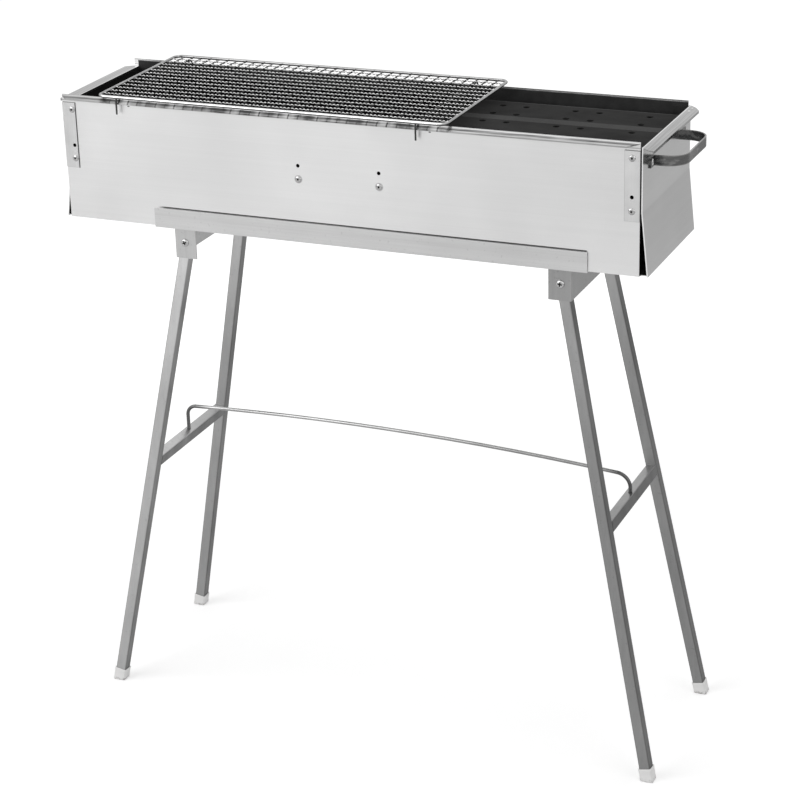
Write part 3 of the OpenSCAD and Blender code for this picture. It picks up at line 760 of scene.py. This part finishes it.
@dataclass(frozen=True)
class CapPlastic:
    """White moulded plastic with a faint orange-peel skin, grubby where it meets the ground.

    Args:
        name: The material's name.
        tone: The tone of the plastic.
        grime: The tone of the dirt.
        grubby: The height up to which it is dirty, and the height where it is so in full.
    """

    name: str = "white_cap_plastic"
    tone: float = 0.78
    grime: float = 0.34
    grubby: tuple[float, float] = (7, 0.5)

    def material(self) -> bpy.types.Material:
        """Builds the finish: fine noise for the skin, and a grey scuff that fades upwards.

        Returns:
            The material.
        """
        shader = Shader(self.name)
        skin = shader.noise(900)
        scuff = shader.noise(240, detail=4.0).ramp(-0.04, 0.16)
        low = shader.spot[2].ramp(*self.grubby)
        darkening = (scuff * low * 0.8 + low * 0.12).least(1.0)
        colour = shader.mix(darkening, tinted(self.tone, 0.005), tinted(self.grime, 0.03))
        shader.paint(colour, 0.38 + skin * 0.2 + darkening * 0.2)
        shader.bump(skin, 0.03, 0.4)
        return shader.material


@dataclass(frozen=True)
class BrightFixing:
    """Nickelled screws and rivets: bright, and dark in their recesses.

    Args:
        name: The material's name.
        tone: The tone of the plating.
        roughness: How blurred its reflections are.
    """

    name: str = "bright_fixing"
    tone: float = 0.66
    roughness: float = 0.2

    def material(self) -> bpy.types.Material:
        """Builds the finish: an uneven plating whose recesses carry a shade attribute.

        Returns:
            The material.
        """
        shader = Shader(self.name)
        mottle = shader.noise(420, detail=3.0)
        shade = shader.shade()
        level = 0.55 + mottle * 0.7 - shade * 0.9
        colour = shader.mix(level, tinted(0.03), tinted(min(self.tone * 1.25, 0.98)))
        rough = self.roughness + mottle * 0.2 + shade * 0.3
        shader.paint(colour, rough, 1.0)
        shader.bump(mottle, 0.02, 0.4)
        return shader.material


@dataclass(frozen=True)
class GrillWire:
    """Plated wire with a painted highlight where it stands up and painted shade in its hollows.

    Args:
        name: The material's name.
        tone: The tone of its crests.
    """

    name: str = "woven_wire"
    tone: float = 0.67

    def material(self) -> bpy.types.Material:
        """Builds the finish: the shade attribute of each wire and a blotched burn darken it.

        Returns:
            The material.
        """
        shader = Shader(self.name)
        burn = shader.noise(45, detail=3.0)
        pits = shader.noise(900)
        shade = shader.shade()
        level = (1.0 - shade) * (1.0 + burn * 0.8 + pits * 0.5)
        rough = 0.26 + pits * 0.2 + shade * 0.25
        shader.paint(shader.grey(level * self.tone), rough, 1.0)
        shader.bump(pits, 0.02, 0.5)
        return shader.material


# ---- surfaces


@dataclass
class Surface:
    """Points and faces of one shape, as whole arrays.

    Args:
        points: The corners, one row each.
        faces: Arrays of faces, each with one number of corners.
        shade: How dark a finish makes each corner, from 0 to 1.
    """

    points: np.ndarray
    faces: list[np.ndarray]
    shade: np.ndarray | None = None

    def moved(self, matrix: np.ndarray, offset: Sequence[float]) -> "Surface":
        """The shape turned by a three by three matrix and then shifted."""
        return Surface(self.points @ matrix.T + np.asarray(offset), self.faces, self.shade)

    @staticmethod
    def joined(parts: Sequence["Surface"]) -> "Surface":
        """Several shapes as one, each with its own corners.

        Args:
            parts: The shapes.

        Returns:
            The joined shape.
        """
        points = np.concatenate([part.points for part in parts])
        starts = np.cumsum([0] + [len(part.points) for part in parts[:-1]])
        faces = [group + start for part, start in zip(parts, starts) for group in part.faces]
        shades = [np.zeros(len(p.points)) if p.shade is None else p.shade for p in parts]
        return Surface(points, faces, np.concatenate(shades))

    def piece(
        self,
        name: str,
        body: str,
        replaced: str,
        material: bpy.types.Material,
        slot: str,
        smooth_below: float,
    ) -> None:
        """Makes the shape a piece of the object, in the place of a plain node.

        Args:
            name: The piece's name.
            body: The body that it moves with.
            replaced: The node that it replaces.
            material: Its finish.
            slot: The record's material slot. It is not used.
            smooth_below: Edges that turn less than this many degrees are shaded smooth.
        """
        mesh = bpy.data.meshes.new(name)
        corners = np.concatenate([group.ravel() for group in self.faces]).astype(np.int32)
        sizes = np.concatenate([np.full(len(g), g.shape[1]) for g in self.faces])
        starts = np.concatenate([[0], np.cumsum(sizes)[:-1]]).astype(np.int32)
        mesh.vertices.add(len(self.points))
        mesh.vertices.foreach_set("co", (self.points * MM).astype(np.float32).ravel())
        mesh.loops.add(len(corners))
        mesh.loops.foreach_set("vertex_index", corners)
        mesh.polygons.add(len(sizes))
        mesh.polygons.foreach_set("loop_start", starts)
        if self.shade is not None:
            shades = mesh.attributes.new("shade", "FLOAT", "POINT")
            shades.data.foreach_set("value", self.shade.astype(np.float32))
        mesh.update(calc_edges=True)
        mesh.validate()
        mesh.shade_smooth()
        mesh.set_sharp_from_angle(angle=math.radians(smooth_below))
        mesh.materials.append(material)
        made = bpy.data.objects.new(name, mesh)
        bpy.context.scene.collection.objects.link(made)
        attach(made, body)
        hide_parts(replaced)
        log.info("%s: %d faces on %s", name, len(sizes), body)


def rotation(axis: int, angle: float) -> np.ndarray:
    """A turn about one axis.

    The other two axes have its cosine along the diagonal and plus and minus its sine across it.

    Args:
        axis: 0, 1 or 2 for X, Y or Z.
        angle: The turn in radians.

    Returns:
        The three by three matrix.
    """
    a, b = (axis + 1) % 3, (axis + 2) % 3
    made = np.eye(3)
    made[a, a] = made[b, b] = math.cos(angle)
    made[b, a] = math.sin(angle)
    made[a, b] = -made[b, a]
    return made


def across_y(side: int) -> np.ndarray:
    """Turns a shape's Z axis to point out of the front (side -1) or the back (side 1)."""
    return rotation(0, -side * math.pi / 2)


def circle(sides: int) -> np.ndarray:
    """The angles of that many points round a circle."""
    return np.linspace(0, 2 * np.pi, sides, endpoint=False)


def rings(points: np.ndarray) -> Surface:
    """A closed skin over rings of points, whose two ends are closed at their middles.

    The rings run so that, seen from the last one, each goes round against the clock.

    Args:
        points: The rings, as an array of ring, point and coordinate.

    Returns:
        The skin.
    """
    count, around = points.shape[:2]
    ends = np.stack([points[0].mean(axis=0), points[-1].mean(axis=0)])
    turn = np.arange(around)
    beside = (turn + 1) % around
    start = np.arange(count - 1)[:, None] * around
    skin = [start + turn, start + beside, start + beside + around, start + turn + around]
    last = (count - 1) * around
    first_fan = [np.full(around, count * around), beside, turn]
    last_fan = [np.full(around, count * around + 1), last + turn, last + beside]
    faces = [np.stack(fan, axis=-1) for fan in (first_fan, last_fan)]
    faces.insert(0, np.stack(skin, axis=-1).reshape(-1, 4))
    return Surface(np.concatenate([points.reshape(-1, 3), ends]), faces)


def wire(path: np.ndarray, radius: float, upright: Sequence[float], sides: int) -> Surface:
    """A round wire along a path.

    At each point of the path the ring is radius times the cosine of the turn along one direction
    across the path, plus radius times its sine along the other. The first is square to
    the path and to the upright, and the second is square to both.

    Args:
        path: The points of the wire's middle.
        radius: The wire's radius.
        upright: A direction that the path never runs along.
        sides: Points in a ring.

    Returns:
        The wire, with closed ends.
    """
    ahead = np.gradient(path, axis=0)
    ahead /= np.linalg.norm(ahead, axis=1, keepdims=True)
    side = np.cross(np.asarray(upright, float), ahead)
    side /= np.linalg.norm(side, axis=1, keepdims=True)
    over = np.cross(ahead, side)
    turn = circle(sides)[None, :, None]
    ring = np.cos(turn) * side[:, None, :] + np.sin(turn) * over[:, None, :]
    return rings(path[:, None, :] + radius * ring)


def turned(profile: np.ndarray, sides: int) -> np.ndarray:
    """The rings of a shape turned about the Z axis.

    Each row of the profile is a radius and a height. The points are the radius times the cosine
    and the sine of the turn, and the height.

    Args:
        profile: Radii and heights from the lowest ring to the highest.
        sides: Points in a ring.

    Returns:
        The points, as an array of ring, point and coordinate.
    """
    turn = circle(sides)
    radius, height = profile[:, :1], profile[:, 1:]
    parts = [radius * np.cos(turn), radius * np.sin(turn), height + 0 * turn]
    return np.stack(parts, axis=-1)


# ---- sub-assemblies


def dress(material: bpy.types.Material, *nodes: str) -> None:
    """Gives CAD nodes a finish.

    Args:
        material: The finish.
        nodes: The nodes' names.
    """
    for node in nodes:
        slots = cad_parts[node].data.materials
        slots.clear()
        slots.append(material)
        log.info("%s: dressed with %s", node, material.name)


@dataclass
class GrillRack:
    """The wire rack: its rim and hooks, and the woven wires that replace the plain mesh."""

    middle_x: float = -109
    rim_half: tuple[float, float] = (246, 112)
    gaps: tuple[int, int] = (36, 14)
    wire_radius: float = 0.72
    middle_z: float = 864.45
    crimps: int = 5
    cross_shade: float = 0.94
    rim: BrushedSteel = BrushedSteel(
        "grill_rim", 0.74, Grain.NONE, 0.24, streaks=0.2, clouds=0.3, cloud_size=30, marks=UnderShade()
    )
    hook: BrushedSteel = BrushedSteel(
        "grill_hook", 0.07, Grain.NONE, 0.34, streaks=0.3, clouds=0.25, cloud_size=30
    )
    wire: GrillWire = GrillWire()

    def strand(self, length: float, gaps: int, phase: float, shade: float) -> Surface:
        """One crimped wire along X about the middle, in the plane where Y is 0.

        Its height is a cosine that makes an odd number of half waves in each gap.

        Args:
            length: Its length.
            gaps: The gaps that it passes.
            phase: 1 where it starts on top of the weave, and -1 where it starts below.
            shade: How dark its crests are, on top of the dark of its hollows.

        Returns:
            The wire.
        """
        along = np.linspace(0, length, 3 * self.crimps * gaps + 1)
        height = phase * np.cos(self.crimps * np.pi * along * gaps / length)
        path = np.stack([along - length / 2, 0 * along, self.wire_radius * height], axis=-1)
        made = wire(path, self.wire_radius, (0, 1, 0), 6)
        # Painted shade in the hollows of the weave, with the crests left bright; the short wires
        # get more all over.
        deep = np.clip(0.5 - made.points[:, 2] / (3.6 * self.wire_radius), 0, 1)
        made.shade = np.clip(shade + (1 - shade) * (1.35 * deep - 0.25), shade, 0.98)
        return made

    def wires(self) -> Surface:
        """Every wire of the weave.

        Crossing by crossing a long wire goes over and under, and the short wire there the
        other way round, each by its own radius. Both end inside the rim wire.

        Returns:
            The joined wires.
        """
        half_x, half_y = self.rim_half
        quarter = rotation(2, math.pi / 2)
        made = []
        for j in range(1, self.gaps[1]):
            row = self.strand(2 * half_x, self.gaps[0], (-1) ** j, 0.0)
            made.append(row.moved(np.eye(3), (0, -half_y + j * 2 * half_y / self.gaps[1], 0)))
        for i in range(1, self.gaps[0]):
            row = self.strand(2 * half_y, self.gaps[1], -((-1) ** i), self.cross_shade)
            made.append(row.moved(quarter, (-half_x + i * 2 * half_x / self.gaps[0], 0, 0)))
        return Surface.joined(made).moved(np.eye(3), (self.middle_x, 0, self.middle_z))

    def build(self) -> None:
        """Makes the weave and dresses the rim and hooks."""
        woven = self.wire.material()
        self.wires().piece("woven_wires", "grate", "grate_mesh", woven, "grate_wire", 80)
        dress(self.rim.material(), "grate_rim")
        dress(self.hook.material(), "grate_hooks")


@dataclass
class Trough:
    """The fire trough: its panels, brackets, ledges, carry handle and blind rivets."""

    middle_x: float = -16
    corner_x: tuple[float, float] = (-401.5, 374)
    middle_rivet_x: tuple[float, float] = (-56.5, 56.5)
    upper_z: float = 840
    lower_z: float = 773
    head_radius: float = 4.4
    head_height: float = 1.8
    head_edge: float = 0.35
    pit_radius: float = 1.4
    shank_radius: float = 2.0
    set_radius: float = 3.0
    bracket_face: float = 102.2
    panel_face: float = 101
    set_face: float = 98.6
    set_head: float = 0.8
    front: BrushedSteel = BrushedSteel(
        "trough_panel", 0.78, Grain.ALONG_X, 0.36, streaks=0.03, clouds=0.07, hollow=Hollow(),
        marks=PanelMarks(),
    )
    end: BrushedSteel = BrushedSteel(
        "trough_end", 0.56, Grain.ALONG_Y, 0.20, streaks=0.08, clouds=0.12, hollow=Hollow(),
        marks=EndMarks(),
    )
    bracket: BrushedSteel = BrushedSteel(
        "trough_bracket", 0.70, Grain.ALONG_Z, 0.34, streaks=0.08, clouds=0.12, cloud_size=40
    )

    def blind_rivet(self, face: float) -> Surface:
        """A blind rivet along Z: set head, shank, domed head and the pit of its broken stem.

        The profile is a row of radii and heights from the set head's pole to the pit's.

        Args:
            face: The distance from the middle of the trough to the face under the head.

        Returns:
            The rivet.
        """
        back, inside, head = self.set_face - self.set_head, self.set_face, self.head_radius
        inward = np.linspace(0, 1, 7)
        height = self.head_edge + (self.head_height - self.head_edge) * np.sin(inward * np.pi / 2)
        crown = np.column_stack([head - (head - self.pit_radius) * inward**1.6, face + height])
        low, thin = self.set_radius, self.shank_radius
        shank = [[low / 3, back], [low, back], [low, inside], [thin, inside], [thin, face]]
        pit = np.array([[1.25, 1.5], [1.2, 0.8], [0.9, 0.7], [0.8, 1.1], [0.3, 1.15]])
        made = rings(turned(np.concatenate([shank, [[head, face]], crown, pit + [0, face]]), 20))
        radius = np.hypot(made.points[:, 0], made.points[:, 1])
        deep = (made.points[:, 2] > face) & (made.points[:, 2] < face + self.head_height - 0.2)
        made.shade = np.where(deep & (radius < 1.3), 0.75, 0.0)
        return made

    def build(self) -> None:
        """Dresses the sheets and makes the rivets."""
        dress(self.front.material(), "front_panel", "back_panel")
        dress(self.end.material(), "left_end_panel", "right_end_panel", "base_plate")
        dress(self.bracket.material(), "front_brackets", "back_brackets")
        # Painted shade: the ledges inside the trough are given a near-black tone.
        dark = BrushedSteel("ledge_steel", 0.05, Grain.ALONG_X, 0.5, streaks=0.3, clouds=0.2)
        dress(dark.material(), "front_ledge", "back_ledge")
        dress(HeatBlued().material(), "carry_handle")
        bright = BrightFixing().material()
        dress(bright, "handle_rivets", "rim_rivets")
        corners = [(x, z) for x in self.corner_x for z in (self.upper_z, self.lower_z)]
        middles = [(self.middle_x + x, self.lower_z) for x in self.middle_rivet_x]
        for face, spots, place in (
            (self.bracket_face, corners, "bracket"),
            (self.panel_face, middles, "ledge"),
        ):
            one = self.blind_rivet(face)
            rivets = [one.moved(across_y(side), (x, 0, z)) for side in (-1, 1) for x, z in spots]
            name, replaced = f"blind_rivets_{place}s", f"{place}_rivets"
            Surface.joined(rivets).piece(name, "trough", replaced, bright, "fixings", 35)


@dataclass
class CoalTray:
    """The slotted plate that the coals lie on."""

    plate: CoalPlate = CoalPlate()

    def build(self) -> None:
        """Dresses the tray."""
        dress(self.plate.material(), "coal_tray")


@dataclass
class Stand:
    """The cradle with its carriers, and the screws that the legs turn on."""

    pivot_x: tuple[float, float] = (-248, 280)
    pivot_z: float = 667
    head_radius: float = 5.5
    head_height: float = 2.8
    shank_radius: float = 3
    slot_half: float = 0.85
    slot_reach: float = 3.1
    slot_depth: float = 1.7
    thread_inset: float = 4.5
    pitch: float = 1.0
    sides: int = 96
    rail: BrushedSteel = BrushedSteel(
        "cradle_steel", 0.63, Grain.ALONG_X, 0.36, streaks=0.12, clouds=0.08, specks=0.1
    )
    # Painted light makes the left carrier paler.
    plate: BrushedSteel = BrushedSteel(
        "carrier_steel", 0.35, Grain.ALONG_Z, 0.40, streaks=0.10, clouds=0.14, specks=0.15,
        paler_left=0.42,
    )

    def cross_head(self) -> Surface:
        """The pan head of a cross-recess screw, standing on the plane where Z is 0.

        The crown's height is the head's height times the root of one less the square of the
        share of the radius, to a low power. The recess takes away a depth that fades from the
        middle to the ends of a cross of two slots.

        Returns:
            The head, open below, where the shank closes it.
        """
        share = np.concatenate([np.linspace(0.02, 0.62, 26), np.linspace(0.66, 1.0, 12)])[::-1]
        turn = circle(self.sides)
        radius = self.head_radius * share[:, None] + 0 * turn[None, :]
        x, y = radius * np.cos(turn), radius * np.sin(turn)
        crown = self.head_height * (1 - share[:, None] ** 3.2) ** 0.5 + 0 * turn[None, :]
        u, v = np.minimum(abs(x), abs(y)), np.maximum(abs(x), abs(y))
        soft = 0.12
        slot = np.clip((self.slot_half - u) / soft, 0, 1)
        slot = slot * np.clip((self.slot_reach - v) / (3 * soft), 0, 1)
        taper = 1 - 0.55 * v / self.slot_reach
        height = np.maximum(crown - slot * self.slot_depth * taper, 0.2)
        return Surface(np.stack([x, y, height], axis=-1), [], slot)

    def screw(self, head_face: float, end: float) -> Surface:
        """One screw along Z from the end of its shank to its cross-recess head.

        Args:
            head_face: The height of the face under the head.
            end: The height of the shank's end.

        Returns:
            The closed screw.
        """
        head = self.cross_head()
        height = np.linspace(end, head_face, int((head_face - end) / self.pitch * 4))
        thread = self.shank_radius - 0.18 * (1 - np.cos(2 * np.pi * height / self.pitch))
        thread[0] *= 0.8
        radius = np.concatenate([thread, [self.shank_radius, self.head_radius]])
        level = np.concatenate([height, [head_face, head_face]])
        shank = turned(np.column_stack([radius, level]), self.sides)
        made = rings(np.concatenate([shank, head.points + [0, 0, head_face]]))
        made.shade = np.zeros(len(made.points))
        made.shade[len(shank) * self.sides : -2] = head.shade.ravel() * 0.9
        made.shade[-1] = 0.9
        return made

    def screws(self) -> Surface:
        """The four pivot screws, each turned a little further than the one before.

        Returns:
            The joined screws.
        """
        head_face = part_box("pivot_screws")[1][1] / MM - self.head_height
        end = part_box("pivot_nuts")[1][1] / MM - self.thread_inset
        one = self.screw(head_face, end)
        made = []
        for number, (x, side) in enumerate((x, s) for x in self.pivot_x for s in (-1, 1)):
            spin = rotation(2, math.radians(20 + 31 * number))
            made.append(one.moved(across_y(side) @ spin, (x, 0, self.pivot_z)))
        return Surface.joined(made)

    def build(self) -> None:
        """Dresses the stand and makes the screws."""
        dress(self.rail.material(), "cradle")
        dress(self.plate.material(), "left_carrier", "right_carrier")
        bright = BrightFixing("bright_screw", 0.8, 0.18).material()
        dress(bright, "carrier_rivets", "pivot_nuts", "pivot_washers")
        screws = self.screws()
        screws.piece("cross_recess_screws", "stand", "pivot_screws", bright, "fixings", 50)


@dataclass
class LegFrames:
    """The two folding leg frames with their white foot caps."""

    middle_x: float = 16
    pivot: tuple[float, float, float] = (264, 82.5, 667)
    foot: tuple[float, float] = (397, 126)
    cap_half: float = 9
    cap_height: float = 18
    cap_floor: float = 6
    tube_half: float = 7.55
    corner_points: int = 6
    steel: BrushedSteel = BrushedSteel(
        "leg_tube", 0.29, Grain.ALONG_Z, 0.32, streaks=0.10, clouds=0.08, cloud_size=80, specks=0.1,
        marks=TubeMarks(),
    )

    def axes(self, sx: int, sy: int) -> tuple[np.ndarray, float]:
        """The turn of a leg and its length.

        The leg hangs down from its pivot, is tilted about X so that it leans outwards and
        then turned about Y so that it splays.

        Args:
            sx: -1 for the left frame, 1 for the right.
            sy: -1 for the front leg, 1 for the back one.

        Returns:
            The matrix and the length.
        """
        pivot_x, pivot_y, drop = self.pivot
        run, out = self.foot[0] - pivot_x, self.foot[1] - pivot_y
        flat = math.hypot(run, drop)
        splay = rotation(1, -sx * math.atan2(run, drop))
        return splay @ rotation(0, sy * math.atan2(out, flat)), math.hypot(flat, out)

    def section(self, half: float, corner: float) -> np.ndarray:
        """A square with rounded corners, as a closed ring of points.

        Args:
            half: Half the square's width.
            corner: The radius of a corner.

        Returns:
            The ring's two coordinates.
        """
        turn = np.linspace(0, np.pi / 2, self.corner_points)
        quarters = np.arange(4)[:, None] * np.pi / 2
        middle = np.array([[1, 1], [-1, 1], [-1, -1], [1, -1]]) * (half - corner)
        arc = np.stack([np.cos(turn + quarters), np.sin(turn + quarters)], axis=-1) * corner
        return (arc + middle[:, None, :]).reshape(-1, 2)

    def cap(self, sx: int, sy: int) -> Surface:
        """One foot cap: a soft square cup that stands flat on the ground.

        Rings of the rounded square run up the outside, over the lip and down the inside to the
        tube's end. The lowest ones are slid along the leg until they lie level.

        Args:
            sx: -1 for the left frame, 1 for the right.
            sy: -1 for the front leg, 1 for the back one.

        Returns:
            The cap.
        """
        turn, length = self.axes(sx, sy)
        half, tube, bottom, top = self.cap_half, self.tube_half, self.cap_floor, self.cap_height
        # Half width, corner radius, height over the ground if level, and height along the leg
        ribs = [
            (half - 1.4, 2.4, 0.0, 0),
            (half - 0.5, 2.6, 0.15, 0),
            (half - 0.1, 2.6, 0.9, 0),
            (half - 0.1, 2.4, 2.5, 0),
            (half - 0.25, 2.4, None, 5),
            (half - 0.25, 2.4, None, top - 3.4),
            (half - 0.02, 2.4, None, top - 2.9),
            (half - 0.02, 2.4, None, top - 0.6),
            (half - 0.3, 2.3, None, top - 0.1),
            (half - 0.8, 2.0, None, top),
            (tube + 0.1, 1.6, None, top - 0.2),
            (tube, 1.6, None, top - 1),
            (tube, 1.6, None, bottom),
            (tube * 0.5, 1.2, None, bottom),
        ]
        level = []
        start = np.array([self.middle_x + sx * self.pivot[0], sy * self.pivot[1], self.pivot[2]])
        for width, corner, ground, rise in ribs:
            flat = self.section(width, corner)
            ring = np.column_stack([flat, np.full(len(flat), rise - length)]) @ turn.T + start
            if ground is not None:
                ring = ring + ((ground - ring[:, 2]) / turn[2, 2])[:, None] * turn[:, 2]
            level.append(ring)
        return rings(np.array(level))

    def build(self) -> None:
        """Dresses the tubes and makes the caps."""
        steel = self.steel.material()
        plastic = CapPlastic().material()
        for side, sx in (("left", -1), ("right", 1)):
            dress(steel, f"{side}_front_leg", f"{side}_back_leg", f"{side}_crossbar")
            caps = Surface.joined([self.cap(sx, sy) for sy in (-1, 1)])
            name, body, replaced = f"{side}_moulded_caps", f"{side}_leg", f"{side}_foot_caps"
            caps.piece(name, body, replaced, plastic, "cap_plastic", 50)


@dataclass
class Brace:
    """The loose steel rod that spreads the legs."""

    # Painted light makes the left part of the rod paler.
    steel: BrushedSteel = BrushedSteel(
        "brace_rod", 0.31, Grain.ALONG_X, 0.26, streaks=0.12, clouds=0.2, cloud_size=40,
        marks=RodMarks(), paler_left=0.40,
    )

    def build(self) -> None:
        """Dresses the rod."""
        dress(self.steel.material(), "brace_rod")


# ---- room


@dataclass
class Studio:
    """The pale floor, the soft lamps and the camera."""

    camera_place: tuple[float, float, float] = (1.19168, -2.71270, 1.64626)
    yaw: float = 24.991
    pitch: float = -22.162
    roll: float = -2.231
    focal_pixels: float = 2345.97
    middle_pixels: tuple[float, float] = (340.0, 400.0)
    frame_pixels: int = 800
    floor_half: float = 30.0
    floor_tone: float = 0.86
    world_light: float = 0.7
    floor_glow: float = 0.50
    near_floor: tuple[float, float] = (0.7, 1.5)
    near_dim: float = 0.20
    aim: tuple[float, float, float] = (0, 0, 0.6)
    lamps: tuple[tuple[str, tuple[float, float, float], float, float], ...] = (
        ("key", (-2.4, -2.6, 2.5), 3.2, 63.0),
        ("fill", (2.6, -1.2, 2.2), 2.4, 14.0),
        ("top", (0.2, 0.8, 3.2), 3.0, 20.0),
    )

    def placed(self, name: str, data: bpy.types.ID, place: Matrix) -> bpy.types.Object:
        """Puts an object into the scene.

        Args:
            name: Its name.
            data: Its mesh, lamp or camera.
            place: Its turn and its place.

        Returns:
            The object.
        """
        made = bpy.data.objects.new(name, data)
        made.matrix_world = place
        bpy.context.scene.collection.objects.link(made)
        return made

    def camera(self) -> None:
        """Places the camera.

        It is rolled about its own axis, raised about X by the pitch and turned about Z by the yaw.
        The lens is the focal length in pixels over the frame's width, times the sensor's, and the
        shift moves the middle of the lens to its pixel.
        """
        data = bpy.data.cameras.new("camera")
        data.sensor_fit = "HORIZONTAL"
        data.sensor_width = 36.0
        data.lens = self.focal_pixels * data.sensor_width / self.frame_pixels
        data.shift_x = (self.frame_pixels / 2 - self.middle_pixels[0]) / self.frame_pixels
        data.shift_y = (self.middle_pixels[1] - self.frame_pixels / 2) / self.frame_pixels
        data.clip_end = 100.0
        turns = ((self.yaw, "Z"), (90 + self.pitch, "X"), (self.roll, "Z"))
        turn = Matrix.Identity(4)
        for angle, axis in turns:
            turn = turn @ Matrix.Rotation(math.radians(angle), 4, axis)
        made = self.placed("camera", data, Matrix.Translation(self.camera_place) @ turn)
        bpy.context.scene.camera = made

    def floor(self) -> None:
        """Lays the plain pale floor, which takes the object's shadow and is white to the camera."""
        mesh = bpy.data.meshes.new("floor")
        corners = [(-1, -1, 0), (1, -1, 0), (1, 1, 0), (-1, 1, 0)]
        corners = [Vector(corner) * self.floor_half for corner in corners]
        mesh.from_pydata(corners, [], [(0, 1, 2, 3)])
        shader = Shader("pale_floor")
        pale = {"Base Color": tinted(self.floor_tone), "Roughness": 0.9, "Specular IOR Level": 0.0}
        shader.feed(shader.main, pale)
        x, y, _ = shader.spot
        start, end = self.near_floor
        near = (x * x + y * y).ramp((end / MM) ** 2, (start / MM) ** 2)
        seen = shader.number("Is Camera Ray", "ShaderNodeLightPath")
        strength = seen * (self.floor_glow - near * self.near_dim)
        glow = shader.node("ShaderNodeEmission", {}, {"Color": WHITE, "Strength": strength})
        both = {0: shader.main.outputs[0], 1: glow.outputs[0]}
        blend = shader.node("ShaderNodeAddShader", {}, both)
        shader.feed(shader.output, {"Surface": blend.outputs[0]})
        mesh.materials.append(shader.material)
        self.placed("floor", mesh, Matrix.Identity(4))

    def world(self) -> None:
        """Gives white to the camera and to shiny parts, and a softer light to the rest."""
        world = bpy.data.worlds.new("studio")
        world.use_nodes = True
        bpy.context.scene.world = world
        room = Nodes(world.node_tree)
        rays = room.node("ShaderNodeLightPath").outputs
        kinds = ("Is Camera Ray", "Is Transmission Ray", "Is Glossy Ray")
        seen, clear, shiny = (Value(room, rays[kind]) for kind in kinds)
        soft = room.node("ShaderNodeBackground", {}, {"Strength": self.world_light})
        white = room.node("ShaderNodeBackground", {}, {"Strength": 1.0, "Color": WHITE})
        lights = {0: seen.most(clear).most(shiny), 1: soft.outputs[0], 2: white.outputs[0]}
        blend = room.node("ShaderNodeMixShader", {}, lights)
        room.node("ShaderNodeOutputWorld", {}, {"Surface": blend.outputs[0]})

    def lights(self) -> None:
        """Hangs the soft square lamps, each turned to the middle of the grill."""
        for name, place, size, power in self.lamps:
            data = bpy.data.lights.new(name, "AREA")
            data.shape, data.size, data.energy = "SQUARE", size, power
            turn = (Vector(self.aim) - Vector(place)).to_track_quat("-Z", "Y").to_matrix()
            self.placed(name, data, Matrix.Translation(place) @ turn.to_4x4())

    def build(self) -> None:
        """Sets up the room."""
        self.floor()
        self.world()
        self.lights()
        self.camera()
        bpy.context.scene.view_settings.view_transform = "Standard"


def main() -> None:
    """Builds the room and each sub-assembly."""
    logging.basicConfig(level=logging.INFO, format="%(name)s: %(message)s")
    for part in (Studio(), Stand(), LegFrames(), Brace(), Trough(), CoalTray(), GrillRack()):
        log.info("building %s", type(part).__name__)
        part.build()
    bpy.context.view_layer.update()


if __name__ == "__main__":
    main()
